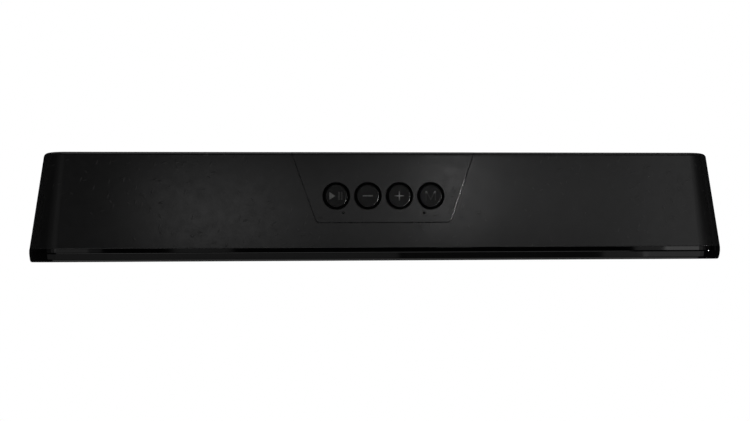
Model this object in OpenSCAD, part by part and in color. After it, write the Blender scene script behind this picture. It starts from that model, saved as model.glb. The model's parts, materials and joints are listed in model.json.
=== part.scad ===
// Desktop soundbar. A one-piece tub tapers towards the rear and is closed at the
// front by a baffle, which carries two full-range drivers and a passive radiator.
// A gloss bezel and a steel grille cover the baffle. A trapezoid panel in the top
// face holds four push buttons over their own board; the ports are at the rear.
// Millimetres. X points right, Y to the rear and Z up. The origin is the centre
// of the footprint, at the underside of the feet.

/* [Enclosure] */
// Overall width, across the bezel
bar_w = 400; // [380:1:420]
// Overall depth, front of the bezel to the rear face
bar_d = 61.5; // [60:0.5:66]
// Overall height, feet included
bar_h = 58; // [57:0.5:62]
// Depth of the gloss bezel
bezel_d = 7.4; // [7.2:0.1:8]
// How far each end comes in from the seam to the rear face
side_taper = 8; // [4:0.1:9]
// How far the top face falls from the seam to the rear face
top_drop = 3; // [2:0.1:4]
// Corner radius of the cross-section at the seam
corner_front = 19.5; // [14:0.5:20]
// Corner radius of the cross-section at the rear face
corner_rear = 15; // [10:0.5:16]
// Wall thickness of the tub
wall = 3; // [2.6:0.1:3.2]
// Height of the rubber feet below the tub
foot_h = 1.6; // [1:0.1:2]

/* [Control panel] */
// Half the panel's width at its front edge
panel_front_hw = 38; // [36:0.5:40]
// Half the panel's width at the rear face
panel_rear_hw = 52.2; // [48:0.2:54]
// Distance from the seam to the panel's front edge
panel_start = 13.8; // [13:0.1:14.5]
// Distance between neighbouring buttons
button_pitch = 17.8; // [17.6:0.1:18.4]
// Distance from the seam to the row of buttons
button_row = 29.1; // [28:0.1:31]
// Radius of a button cap
button_r = 6.3; // [6:0.1:6.4]
// Radius of the well around a button
well_r = 7.8; // [7.6:0.1:8]
// How far a button travels when pressed
button_travel = 0.5; // [0.3:0.05:0.6]

/* [Drivers] */
// Distance of each driver's axis from the middle
driver_x = 150; // [146:1:152]
// Radius of the driver's cone
cone_r = 16.4; // [16:0.1:16.6]
// Radius of the ferrite magnet
magnet_r = 17.5; // [16:0.5:18]
// Overall length of the passive radiator
radiator_l = 92; // [84:1:96]
// Overall height of the passive radiator
radiator_h = 44; // [42:1:44]

/* [Ports] */
// Height of the row of ports
port_z = 21; // [20:0.5:22]
// Place of the power switch
switch_x = -36; // [-38:1:-34]
// Place of the USB-C charging socket
usb_c_x = -16; // [-18:1:-14]
// Place of the audio input jack
aux_x = 6; // [4:1:8]
// Place of the USB-A socket
usb_a_x = 31; // [29:1:33]
// Radius of the audio jack's bore
aux_r = 1.8; // [1.75:0.05:1.9]
// Travel of the power switch
switch_travel = 4; // [3:0.5:4]

/* [Hidden] */
$fn = 64;
HULL_FN = 64;
EPS = 0.01;

y_front = -bar_d / 2;
y_back = bar_d / 2;
y_seam = y_front + bezel_d;
body_d = y_back - y_seam;
body_hw = bar_w / 2 - 0.3;
rear_edge_r = 2;

// The bezel is a little lower than the tub, and its ledge ends in a chamfer.
bezel_drop = 0.6;
bezel_ledge = 2.7;
bezel_chamfer = 3.4;
bezel_lip = 1.2;
bezel_rim = 7.5;
grille_t = 0.8;
grille_inset = 5.5;
y_grille = y_front + bezel_lip;

gasket_t = 1;
baffle_t = 2.6;
y_baffle_rear = y_seam - gasket_t;
y_baffle_front = y_baffle_rear - baffle_t;
baffle_inset = 1.2;
z_axis = (foot_h + bar_h) / 2;

// Baffle screws: along the top and bottom edges, and one at each end.
screw_inset = 8.6;
boss_r = 3.5;
boss_l = 22;
pilot_r = 1.3;
edge_screw_x = [-112, -62, 62, 112];
baffle_screw_points = concat(
    [for (x = edge_screw_x, z = [foot_h + screw_inset + 0.6, bar_h - screw_inset - 0.6]) [x, z]],
    [for (side = [-1, 1]) [side * (bar_w / 2 - screw_inset), z_axis]]
);
peg_x = [-175, -87, 0, 87, 175];
peg_r = 1.1;
peg_points = [for (x = peg_x, z = [foot_h + 4.1, bar_h - 4.1]) [x, z]];

// Heights in the control panel's own frame, down from the tub's top face.
slope = atan(top_drop / body_d);
panel_end = body_d / cos(slope);
panel_flare = (panel_rear_hw - panel_front_hw) / (panel_end - panel_start);
panel_gap = 0.3;
panel_proud = 0.2;
panel_t = 2;
ledge_n = panel_proud - panel_t;
ledge_w = 2.6;
panel_corner = 1.2;
well_floor_n = -2.2;
collar_n = -3.4;
collar_r = button_pitch / 2 - 0.2;
cap_n = 0.35;
button_gap = 0.3;
flange_r = 7.3;
flange_n = collar_n - 0.2;
flange_t = 1;
board_n = -9.7;
board_t = 1.2;
tact_w = 6;
tact_h = 3.5;
stem_r = 2.2;
stem_n = board_n + tact_h + button_travel + 0.3;
plunger_r = 1.6;
plunger_l = 2.5;
board_hw = 35;
board_v = [17, 40.5];
board_boss_h = 2;
pocket_n = board_n - board_t - board_boss_h;
pocket_end = 49.6;
tray_wall = 1.6;
board_screw_points = [for (x = [-32, 32], v = [21, 37.5]) [x, v]];
button_x = [for (i = [0:3]) (i - 1.5) * button_pitch];
pinhole_x = 22.7;
pinhole_v = 19.4;
pinhole_r = 0.65;
icon_depth = 0.2;

// Main board, upright behind the rear wall.
rear_inner = y_back - wall;
main_boss_h = 9.2;
main_y = rear_inner - main_boss_h;
main_t = 1.6;
main_hw = 55;
main_z = [7, 35];
main_screw_points = [for (x = [-50, 50], z = [11, 31]) [x, z]];
bay_depth = 1;
bay_x = [-50, 46];
bay_z = [11, 31];
port_front = y_back - bay_depth;

// Driver profile, along its own axis: 0 at the baffle's rear face, positive to the front.
driver_square = 47;
driver_screw = 19.4;
driver_gasket_t = 0.8;
flange_steel = 1.2;
surround_r = 18.5;
surround_roll = 1.9;
skin = 0.4;
coil_r = 6.9;
pole_r = 6.4;
plate_bore = 7.75;
basket_floor = -13;
shelf_n = -11.4;
top_plate_t = 2;
magnet_t = 7.5;
back_plate_t = 2.5;
baffle_hole_r = 21.8;

radiator_rim = 6;
radiator_roll = 2;
radiator_frame_t = 1.5;
radiator_plate_t = 1.2;

cell_r = 9.2;
cell_l = 65;
cell_y = 14;
cell_x = -124;
cell_z = [16, 35.4];
cradle_t = 3;

foot_r = 7;
foot_recess = 0.6;
foot_points = [[-160, -14], [160, -14], [-155, 18], [155, 18]];

// ---- Shared shapes ----

// A rectangle with round corners, centred on X and standing on Y = 0.
module rounded_rect(w, h, r) {
    translate([-w / 2, 0]) {
        translate([r, 0]) square([w - 2 * r, h]);
        translate([0, r]) square([w, h - 2 * r]);
        for (x = [r, w - r], y = [r, h - r]) translate([x, y]) circle(r);
    }
}

// A stadium of overall length l and height h, centred.
module stadium(l, h) {
    square([l - h, h], center = true);
    for (side = [-1, 1]) translate([side * (l - h) / 2, 0]) circle(h / 2);
}

// Stands a 2D outline up in the XZ plane, from y to y + t.
module upright(y, t) {
    translate([0, y + t, 0]) rotate([90, 0, 0]) linear_extrude(t) children();
}

// A cylinder along Y, from y to y + l.
module rod_y(x, y, z, r, l) {
    translate([x, y + l, z]) rotate([90, 0, 0]) cylinder(r = r, h = l);
}

// One cross-section of the tub at depth y, drawn in by inset.
module body_section(y, inset = 0) {
    t = (y - y_seam) / body_d;
    w = 2 * (body_hw - side_taper * t - inset);
    h = bar_h - top_drop * t - foot_h - 2 * inset;
    r = corner_front - (corner_front - corner_rear) * t - inset;
    translate([0, foot_h + inset]) rounded_rect(w, h, max(r, 1), $fn = HULL_FN);
}

module body_slab(y, inset = 0) {
    upright(y, EPS) body_section(y, inset);
}

module body_outer() {
    hull() {
        body_slab(y_seam);
        for (a = [0:22.5:90]) {
            body_slab(y_back - EPS - rear_edge_r * (1 - sin(a)), rear_edge_r * (1 - cos(a)));
        }
    }
}

module body_inner() {
    hull() {
        body_slab(y_seam - 1, wall);
        body_slab(rear_inner - EPS, wall);
    }
}

// The bezel's outline, drawn in by x_inset at the ends and z_inset above and below.
module bezel_outline(x_inset, z_inset = undef) {
    dz = is_undef(z_inset) ? x_inset : z_inset;
    r = corner_front - min(x_inset, dz);
    translate([0, foot_h + bezel_drop + dz])
        rounded_rect(bar_w - 2 * x_inset, bar_h - foot_h - 2 * bezel_drop - 2 * dz, max(r, 2), $fn = HULL_FN);
}

// Moves into the control panel's frame: X across, Y from the seam to the rear, Z off the top face.
module on_top() {
    translate([0, y_seam, bar_h]) rotate([-slope, 0, 0]) children();
}

// Moves into a driver's frame: Z towards the front, 0 at the baffle's rear face.
module in_front(x) {
    translate([x, y_baffle_rear, z_axis]) rotate([90, 0, 0]) children();
}

// Half the panel's width at distance v from the seam.
function panel_hw(v, inset) =
    panel_front_hw + (v - panel_start) * panel_flare - inset * sqrt(1 + panel_flare * panel_flare);

// The panel's trapezoid with its two front corners cut, up to distance v_end.
module panel_outline(inset, v_end) {
    v0 = panel_start + inset;
    half = [
        [panel_hw(v0, inset) - panel_corner, v0],
        [panel_hw(v0 + panel_corner, inset), v0 + panel_corner],
        [panel_hw(v_end, inset), v_end]
    ];
    mirrored = [for (i = [2:-1:0]) [-half[i][0], half[i][1]]];
    polygon(concat(half, mirrored));
}

module panel_prism(inset, v_end, n0, n1) {
    translate([0, 0, n0]) linear_extrude(n1 - n0) panel_outline(inset, v_end);
}

// ---- Swept wires ----

function unit(v) = v / norm(v);

// A Catmull-Rom curve through the points, with the given steps in each span.
function curve_point(p0, p1, p2, p3, u) =
    0.5 * (2 * p1 + (p2 - p0) * u + (2 * p0 - 5 * p1 + 4 * p2 - p3) * u * u
        + (3 * p1 - p0 - 3 * p2 + p3) * u * u * u);
function curve(p, steps) = concat(
    [for (i = [0:len(p) - 2], k = [0:steps - 1])
        curve_point(p[max(i - 1, 0)], p[i], p[i + 1], p[min(i + 2, len(p) - 1)], k / steps)],
    [p[len(p) - 1]]
);
function tangents(p) =
    [for (i = [0:len(p) - 1]) unit(p[min(i + 1, len(p) - 1)] - p[max(i - 1, 0)])];
function side_vectors(t) = [
    for (i = 0, s = unit(cross(t[0], [0.31, 0.47, 0.83])); i < len(t);
        i = i + 1, s = i < len(t) ? unit(s - (s * t[i]) * t[i]) : s) s
];

// A round wire of radius r along the points: one closed polyhedron.
module wire(points, r, sides = 8, steps = 4) {
    p = curve(points, steps);
    t = tangents(p);
    s = side_vectors(t);
    rings = [for (i = [0:len(p) - 1], k = [0:sides - 1])
        p[i] + r * (cos(360 * k / sides) * s[i] + sin(360 * k / sides) * cross(t[i], s[i]))];
    last = (len(p) - 1) * sides;
    polyhedron(rings, concat(
        [[for (k = [0:sides - 1]) k]],
        [for (i = [0:len(p) - 2], k = [0:sides - 1])
            let (a = i * sides + k, b = i * sides + (k + 1) % sides) [a, a + sides, b + sides, b]],
        [[for (k = [sides - 1:-1:0]) last + k]]
    ));
}

// ---- Enclosure ----

// Screw boss behind the rim, tied to the nearest wall by a web.
module rim_boss(point) {
    x = point[0];
    z = point[1];
    rod_y(x, y_seam, z, boss_r, boss_l);
    if (abs(x) > driver_x) {
        reach = body_hw - abs(x) - side_taper * boss_l / body_d - wall / 2;
        translate([x > 0 ? x : x - reach, y_seam, z - 0.8]) cube([reach, boss_l, 1.6]);
    } else {
        reach = screw_inset - wall / 2;
        translate([x - 0.8, y_seam, z > z_axis ? z : z - reach]) cube([1.6, boss_l, reach]);
    }
}

// The pocket under the control panel, as a closed tray hanging from the top wall.
module control_tray() {
    on_top() panel_prism(ledge_w - tray_wall, pocket_end + tray_wall, pocket_n - tray_wall, -1);
}

// Openings of the four ports in the floor of the rear bay.
module port_holes() {
    y = rear_inner - 1;
    l = wall + 2;
    translate([switch_x, 0, port_z]) upright(y, l) square([10.2, 4.6], center = true);
    translate([usb_c_x, 0, port_z]) upright(y, l) stadium(9.6, 3.9);
    rod_y(aux_x, y, port_z, 3.7, l);
    translate([usb_a_x, 0, port_z]) upright(y, l) square([14.3, 6.9], center = true);
}

module rear_bay() {
    translate([(bay_x[0] + bay_x[1]) / 2, 0, bay_z[0]])
        upright(port_front, 2) rounded_rect(bay_x[1] - bay_x[0], bay_z[1] - bay_z[0], 3);
}

module rear_housing() {
    color([0.1, 0.1, 0.105]) difference() {
        union() {
            difference() {
                body_outer();
                body_inner();
            }
            for (p = baffle_screw_points) rim_boss(p);
            control_tray();
            for (p = main_screw_points) rod_y(p[0], main_y, p[1], 3, main_boss_h + 1);
        }
        on_top() {
            panel_prism(0, panel_end + 3, ledge_n, 6);
            difference() {
                panel_prism(ledge_w, pocket_end, pocket_n, ledge_n + 1);
                for (p = board_screw_points) {
                    translate([p[0], p[1], pocket_n - 1]) cylinder(r = 2.2, h = board_boss_h + 1);
                }
            }
            for (p = board_screw_points) {
                translate([p[0], p[1], pocket_n - 1]) cylinder(r = 0.8, h = board_boss_h + 2);
            }
            translate([-5, 43, pocket_n - 3]) cube([10, 4, 6]);
        }
        for (p = baffle_screw_points) rod_y(p[0], y_seam - 1, p[1], pilot_r, 14);
        for (p = main_screw_points) rod_y(p[0], main_y - 1, p[1], 0.9, 8);
        for (p = foot_points) {
            translate([p[0], p[1], foot_h - 1]) cylinder(r = foot_r + 0.2, h = foot_recess + 1);
        }
        rear_bay();
        port_holes();
    }
}

module front_baffle() {
    color([0.13, 0.13, 0.13]) difference() {
        union() {
            upright(y_baffle_front, baffle_t) bezel_outline(baffle_inset);
            for (p = baffle_screw_points) rod_y(p[0], y_baffle_rear - 1, p[1], boss_r, 1 + gasket_t);
        }
        for (side = [-1, 1]) {
            rod_y(side * driver_x, y_baffle_front - 1, z_axis, baffle_hole_r, baffle_t + 2);
            in_front(side * driver_x) for (x = [-1, 1], z = [-1, 1]) {
                translate([x * driver_screw, z * driver_screw, -1]) cylinder(r = 0.9, h = 3.4);
            }
        }
        translate([0, 0, z_axis]) upright(y_baffle_front - 1, baffle_t + 2)
            stadium(radiator_l - 2 * radiator_rim + 4, radiator_h - 2 * radiator_rim + 4);
        for (p = baffle_screw_points) rod_y(p[0], y_baffle_front - 1, p[1], 1.6, baffle_t + 4);
        for (p = peg_points) rod_y(p[0], y_baffle_front - 1, p[1], peg_r + 0.05, 2.9);
    }
}

module front_bezel() {
    y_ledge = y_seam - bezel_ledge;
    y_chamfer = y_ledge - bezel_chamfer;
    color([0.03, 0.03, 0.03]) union() {
        difference() {
            hull() {
                upright(y_ledge, bezel_ledge) bezel_outline(0);
                upright(y_chamfer, EPS) bezel_outline(0, 1.7);
                upright(y_front + 0.35, EPS) bezel_outline(0.25, 2.4);
                upright(y_front, EPS) bezel_outline(0.8, 3.1);
            }
            upright(y_front - 1, bezel_lip + 1) bezel_outline(bezel_rim);
            upright(y_grille, y_baffle_front - y_grille + EPS) bezel_outline(grille_inset - 0.2);
            upright(y_baffle_front, y_seam - y_baffle_front + 1) bezel_outline(baffle_inset - 0.15);
        }
        for (p = peg_points) rod_y(p[0], y_baffle_front - 0.5, p[1], peg_r, 2.2);
    }
}

module front_grille() {
    color([0.07, 0.07, 0.07]) upright(y_grille, grille_t) bezel_outline(grille_inset);
}

module baffle_gasket() {
    color([0.16, 0.16, 0.17]) upright(y_baffle_rear, gasket_t) difference() {
        bezel_outline(baffle_inset);
        body_section(y_seam, wall);
    }
}

module rubber_feet() {
    color([0.08, 0.08, 0.08]) for (p = foot_points) {
        translate([p[0], p[1], 0]) rotate_extrude() polygon([
            [0, 0], [foot_r - 0.8, 0], [foot_r - 0.25, 0.25], [foot_r, 0.8],
            [foot_r, foot_h + foot_recess], [0, foot_h + foot_recess]
        ]);
    }
}

module baffle_screws() {
    color([0.25, 0.25, 0.26]) for (p = baffle_screw_points) {
        rod_y(p[0], y_baffle_front - 1.4, p[1], 2.7, 1.4);
        rod_y(p[0], y_baffle_front - EPS, p[1], 1.25, 14);
    }
}

// ---- Control panel and buttons ----

module control_panel() {
    color([0.12, 0.12, 0.125]) difference() {
        union() {
            intersection() {
                on_top() panel_prism(panel_gap, panel_end + 3, ledge_n, panel_proud);
                translate([0, 0, panel_proud]) body_outer();
            }
            on_top() {
                for (x = button_x) {
                    translate([x, button_row, collar_n]) cylinder(r = collar_r, h = ledge_n - collar_n + 0.5);
                }
                for (side = [-1, 1]) {
                    translate([side * pinhole_x, pinhole_v, -5]) cylinder(r = 2.2, h = ledge_n + 5.5);
                }
            }
        }
        on_top() {
            for (x = button_x) translate([x, button_row, 0]) {
                translate([0, 0, well_floor_n]) cylinder(r = well_r, h = 6);
                translate([0, 0, collar_n - 1]) cylinder(r = button_r + button_gap, h = 6);
            }
            for (side = [-1, 1]) {
                translate([side * pinhole_x, pinhole_v, -6]) cylinder(r = pinhole_r, h = 8);
            }
            translate([-pinhole_x, pinhole_v, -6]) cylinder(r = 1.45, h = 3.8);
        }
    }
}

// Legend outlines, each about 6 mm across.
module play_pause_icon() {
    translate([-0.35, 0]) {
        polygon([[-3.5, -2.2], [-0.1, 0], [-3.5, 2.2]]);
        for (x = [1.6, 3.1]) translate([x, -2.3]) square([0.75, 4.6]);
    }
}

module minus_icon() {
    square([5.8, 0.7], center = true);
}

module plus_icon() {
    square([5.4, 0.6], center = true);
    square([0.6, 5.4], center = true);
}

module mode_icon() {
    half = [[-2.9, -2.6], [-2.9, 2.7], [-2.2, 2.7], [0, -1.5]];
    inner = [[0, -2.7], [-2.35, 1.6], [-2.35, -2.6]];
    left = concat(half, inner);
    polygon(left);
    mirror([1, 0]) polygon(left);
}

// A button cap with its retaining flange and stem; its children are the legend.
module button(i) {
    edge = 0.6;
    rim = [for (a = [0:15:90]) [button_r - edge + edge * sin(90 - a), cap_n - edge + edge * sin(a)]];
    color([0.09, 0.09, 0.09]) on_top() translate([button_x[i], button_row, 0]) difference() {
        rotate_extrude() polygon(concat(
            [[0, stem_n], [stem_r, stem_n], [stem_r, flange_n - flange_t], [flange_r, flange_n - flange_t],
                [flange_r, flange_n], [button_r, flange_n]],
            rim, [[0, cap_n]]
        ));
        translate([0, 0, cap_n - icon_depth]) linear_extrude(1) children();
    }
}

module play_pause_button() {
    button(0) play_pause_icon();
}

module volume_down_button() {
    button(1) minus_icon();
}

module volume_up_button() {
    button(2) plus_icon();
}

module mode_button() {
    button(3) mode_icon();
}

module plunger(i) {
    color([0.75, 0.73, 0.66]) on_top() translate([button_x[i], button_row, stem_n - plunger_l])
        cylinder(r = plunger_r, h = plunger_l);
}

module tact_switches() {
    color([0.16, 0.16, 0.16]) on_top() for (x = button_x) {
        translate([x, button_row, board_n]) difference() {
            translate([-tact_w / 2, -tact_w / 2, 0]) cube([tact_w, tact_w, tact_h]);
            translate([0, 0, 1]) cylinder(r = plunger_r + 0.15, h = tact_h);
        }
    }
}

module control_board() {
    color([0.05, 0.28, 0.14]) on_top() difference() {
        translate([-board_hw, board_v[0], board_n - board_t])
            cube([2 * board_hw, board_v[1] - board_v[0], board_t]);
        for (p = board_screw_points) {
            translate([p[0], p[1], board_n - board_t - 1]) cylinder(r = 1.1, h = board_t + 2);
        }
    }
}

module status_led() {
    color([0.85, 0.86, 0.8]) on_top()
        translate([-pinhole_x - 1, pinhole_v - 0.65, board_n]) cube([2, 1.3, 1]);
}

module light_pipe() {
    color([0.85, 0.88, 0.9]) on_top() translate([-pinhole_x, pinhole_v, 0]) {
        translate([0, 0, -8.5]) cylinder(r = 1.4, h = 6.2);
        translate([0, 0, -2.4]) cylinder(r = pinhole_r - 0.05, h = 1.9);
    }
}

module microphone() {
    color([0.7, 0.7, 0.72]) on_top() translate([pinhole_x, pinhole_v, board_n]) difference() {
        cylinder(r = 2.2, h = 1.6);
        translate([0, 0, 1.2]) cylinder(r = 0.5, h = 1);
    }
}

module microphone_boot() {
    color([0.1, 0.1, 0.1]) on_top() translate([pinhole_x, pinhole_v, board_n + 1.6]) difference() {
        cylinder(r = 2.2, h = -5 - board_n - 1.6);
        translate([0, 0, -1]) cylinder(r = 0.8, h = 6);
    }
}

// ---- Main electronics ----

module main_board() {
    color([0.05, 0.28, 0.14]) difference() {
        translate([-main_hw, main_y - main_t, main_z[0]]) cube([2 * main_hw, main_t, main_z[1] - main_z[0]]);
        for (p = main_screw_points) rod_y(p[0], main_y - main_t - 1, p[1], 1.2, main_t + 2);
        rod_y(aux_x, main_y - main_t - 1, port_z, 2.3, main_t + 2);
    }
}

// Screws of both boards: four upright ones in the control pocket, four through the main board.
module board_screws() {
    color([0.7, 0.7, 0.72]) {
        on_top() for (p = board_screw_points) translate([p[0], p[1], board_n]) {
            cylinder(r = 1.8, h = 1.3);
            translate([0, 0, -3.9]) cylinder(r = 0.75, h = 3.9 + EPS);
        }
        for (p = main_screw_points) {
            rod_y(p[0], main_y - main_t - 1.3, p[1], 2, 1.3);
            rod_y(p[0], main_y - main_t - EPS, p[1], 0.85, 8);
        }
    }
}

module usb_c_socket() {
    color([0.72, 0.72, 0.74]) translate([usb_c_x, 0, port_z]) {
        difference() {
            upright(main_y, port_front - main_y) stadium(9, 3.3);
            upright(port_front - 7, 8) stadium(8.4, 2.7);
        }
        translate([-3.35, port_front - 7 - EPS, -0.35]) cube([6.7, 6 + EPS, 0.7]);
    }
}

module usb_a_socket() {
    color([0.72, 0.72, 0.74]) translate([usb_a_x, 0, port_z]) {
        difference() {
            upright(main_y, port_front - main_y) square([13.7, 6.3], center = true);
            upright(port_front - 9, 10) square([12.6, 5.2], center = true);
        }
        translate([-5.55, port_front - 9 - EPS, 0.2]) cube([11.1, 7.8 + EPS, 1.84]);
    }
}

module aux_jack() {
    color([0.06, 0.06, 0.06]) difference() {
        union() {
            translate([aux_x - 4.8, main_y, port_z - 4.8]) cube([9.6, rear_inner - 0.2 - main_y, 9.6]);
            rod_y(aux_x, rear_inner - 1, port_z, 3.4, port_front - rear_inner + 1);
        }
        rod_y(aux_x, main_y - 1, port_z, aux_r, port_front - main_y + 2);
    }
}

module power_switch_body() {
    color([0.7, 0.7, 0.72]) difference() {
        translate([switch_x - 4.6, main_y, port_z - 2.2]) cube([9.2, 4.6, 4.4]);
        translate([switch_x - 3.6, main_y + 2.2, port_z - 1.1]) cube([7.2, 4, 2.2]);
    }
}

// Finger knob with its inner cover plate and lever; at rest it is at the OFF end of its slot.
module power_switch_knob() {
    x = switch_x - switch_travel / 2;
    color([0.2, 0.2, 0.2]) difference() {
        union() {
            translate([x - 1.3, main_y + 2.8, port_z - 0.8]) cube([2.6, 5.4, 1.6]);
            translate([x - 7, rear_inner - 1.3, port_z - 3]) cube([14, 1, 6]);
            translate([x - 2.8, rear_inner - 1.2, port_z - 2]) cube([5.6, port_front - rear_inner + 1.9, 4]);
        }
        for (dx = [-1.6, 0, 1.6]) {
            translate([x + dx - 0.3, port_front + 0.3, port_z - 3]) cube([0.6, 2, 6]);
        }
    }
}

module bluetooth_module() {
    color([0.55, 0.56, 0.6]) {
        translate([18, main_y - main_t - 0.8, 13]) cube([18, 0.8, 16]);
        translate([19.5, main_y - main_t - 2.6, 16]) cube([13, 1.8 + EPS, 11.5]);
    }
}

module amplifier_chip() {
    color([0.08, 0.08, 0.08]) translate([-8, main_y - main_t - 1.6, 12]) cube([10, 1.6, 6]);
}

module capacitors() {
    color([0.1, 0.12, 0.3]) {
        for (p = [[-34, 12], [-26, 12], [-18, 12]]) rod_y(p[0], main_y - main_t - 8, p[1], 3.15, 8);
        for (p = [[-34, 27], [-23, 27]]) rod_y(p[0], main_y - main_t - 11, p[1], 4, 11);
    }
}

// Wire headers: speakers, battery and control cable on the main board, and one on the control board.
module wire_headers() {
    color([0.9, 0.88, 0.82]) {
        for (x = [-47, 39]) translate([x, main_y - main_t - 4.5, 19]) cube([8, 4.5, 4.5]);
        translate([-46, main_y - main_t - 4.5, 10]) cube([7, 4.5, 4.5]);
        translate([-5, main_y - main_t - 4.5, 24]) cube([10, 4.5, 4.5]);
        on_top() translate([-5, 35.5, board_n]) cube([10, 4.5, 3.6]);
    }
}

// ---- Drivers ----

module square_plate(t) {
    linear_extrude(t) translate([0, -driver_square / 2]) rounded_rect(driver_square, driver_square, 5);
}

module driver_screw_holes(r) {
    for (x = [-1, 1], y = [-1, 1]) translate([x * driver_screw, y * driver_screw, -4]) cylinder(r = r, h = 6);
}

module driver_basket(x) {
    back = -driver_gasket_t - flange_steel;
    color([0.2, 0.2, 0.21]) in_front(x) difference() {
        union() {
            difference() {
                translate([0, 0, back]) square_plate(flange_steel);
                translate([0, 0, back - 1]) cylinder(r = 19.6, h = 4);
                driver_screw_holes(1.2);
            }
            rotate_extrude() polygon([
                [19.6, back + EPS], [20.9, back + EPS], [15.8, -10.6], [15.8, basket_floor],
                [9, basket_floor], [9, basket_floor + 1], [12.4, basket_floor + 1],
                [12.4, shelf_n], [14.4, shelf_n], [14.4, -10.6]
            ]);
        }
        for (a = [0:60:300]) {
            rotate([0, 0, a]) translate([12, 0, -6.6]) rotate([0, 90, 0]) cylinder(r = 2.9, h = 12);
        }
    }
}

module driver_top_plate(x) {
    color([0.6, 0.6, 0.63]) in_front(x) translate([0, 0, basket_floor - top_plate_t]) difference() {
        cylinder(r = 15, h = top_plate_t);
        translate([0, 0, -1]) cylinder(r = plate_bore, h = top_plate_t + 2);
    }
}

module driver_magnet(x) {
    back = basket_floor - top_plate_t - magnet_t;
    color([0.14, 0.14, 0.15]) in_front(x) translate([0, 0, back]) difference() {
        cylinder(r = magnet_r, h = magnet_t);
        translate([0, 0, -1]) cylinder(r = 8.6, h = magnet_t + 2);
    }
}

module driver_yoke(x) {
    back = basket_floor - top_plate_t - magnet_t - back_plate_t;
    color([0.6, 0.6, 0.63]) in_front(x) translate([0, 0, back]) {
        cylinder(r = 16.5, h = back_plate_t);
        cylinder(r = pole_r, h = basket_floor - back);
    }
}

module driver_voice_coil(x) {
    color([0.75, 0.42, 0.2]) in_front(x) difference() {
        union() {
            translate([0, 0, -17.5]) cylinder(r = coil_r, h = 9.3);
            translate([0, 0, -17.4]) cylinder(r = coil_r + 0.4, h = 5.4);
        }
        translate([0, 0, -18]) cylinder(r = coil_r - 0.15, h = 11);
    }
}

// Corrugated centring disc between the coil former and the basket's shelf.
module driver_spider(x) {
    inner = coil_r + 0.05;
    rolls_end = 12.2;
    outer = 14.3;
    waves = 2.5;
    steps = 20;
    base = shelf_n + 0.02;
    height = function (k) base + 0.45 * abs(sin(360 * waves * k / steps));
    top = [for (k = [0:steps]) [inner + (rolls_end - inner) * k / steps, height(k) + skin]];
    bottom = [for (k = [steps:-1:0]) [inner + (rolls_end - inner) * k / steps, height(k)]];
    color([0.75, 0.6, 0.25]) in_front(x) rotate_extrude()
        polygon(concat(top, [[outer, base + skin], [outer, base]], bottom));
}

module driver_cone(x) {
    color([0.07, 0.07, 0.07]) in_front(x) rotate_extrude() polygon([
        [coil_r + 0.03, -9.4], [coil_r + 0.5, -9.4], [11, -5.9], [15.5, -1.3], [cone_r, -1.2],
        [cone_r, -0.8], [15.2, -0.8], [10.7, -5.2], [coil_r + 0.5, -8.6], [coil_r + 0.03, -8.6]
    ]);
}

// Half-roll rubber edge, glued to the cone inside and to the basket's flange outside.
module driver_surround(x) {
    base = -driver_gasket_t;
    inner_r = surround_roll - skin;
    arc = function (r, a) [surround_r + r * cos(a), base + 0.1 + r * sin(a)];
    color([0.05, 0.05, 0.05]) in_front(x) rotate_extrude() polygon(concat(
        [[15.5, base + 0.05], [15.5, base + 0.5]],
        [for (a = [168:-13:12]) arc(surround_roll, a)],
        [[21.6, base + 0.5], [21.6, base], [surround_r + inner_r, base]],
        [for (a = [0:15:180]) arc(inner_r, a)],
        [[surround_r - inner_r, base + 0.05]]
    ));
}

module driver_dust_cap(x) {
    dome_r = 15;
    seat_r = 8.9;
    centre = -6.65 - sqrt(dome_r * dome_r - seat_r * seat_r);
    steps = 8;
    height = function (q) centre + sqrt(dome_r * dome_r - q * q);
    outside = [for (k = [0:steps]) let (q = seat_r * k / steps) [q, height(q)]];
    inside = [for (k = [steps:-1:0]) let (q = seat_r * k / steps) [q, height(q) - 0.35]];
    color([0.05, 0.05, 0.05]) in_front(x) rotate_extrude() polygon(concat(outside, inside));
}

module driver_gaskets() {
    color([0.14, 0.14, 0.14]) for (side = [-1, 1]) in_front(side * driver_x) difference() {
        translate([0, 0, -driver_gasket_t]) square_plate(driver_gasket_t);
        translate([0, 0, -2]) cylinder(r = 22, h = 4);
        driver_screw_holes(1.2);
    }
}

module driver_screws() {
    head = -driver_gasket_t - flange_steel;
    color([0.25, 0.25, 0.26]) for (side = [-1, 1]) in_front(side * driver_x) {
        for (x = [-1, 1], y = [-1, 1]) translate([x * driver_screw, y * driver_screw, 0]) {
            translate([0, 0, head - 1.4]) cylinder(r = 2.1, h = 1.4);
            translate([0, 0, head - EPS]) cylinder(r = 0.85, h = 4.2);
        }
    }
}

// ---- Passive radiator ----

// Sweeps a profile, drawn with X as the distance out from the end arcs' centres, round a stadium.
module stadium_sweep() {
    straight = radiator_l - radiator_h;
    for (side = [0, 180]) rotate([0, 0, side]) {
        translate([straight / 2, 0, 0]) rotate([0, 0, -90]) rotate_extrude(angle = 180) children();
        translate([straight / 2, 0, 0]) rotate([90, 0, -90])
            linear_extrude(straight) mirror([1, 0]) children();
    }
}

module radiator_frame() {
    r = radiator_h / 2;
    color([0.13, 0.13, 0.13]) in_front(0) stadium_sweep()
        translate([r - radiator_rim, -radiator_frame_t]) square([radiator_rim, radiator_frame_t - 0.6]);
}

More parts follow.
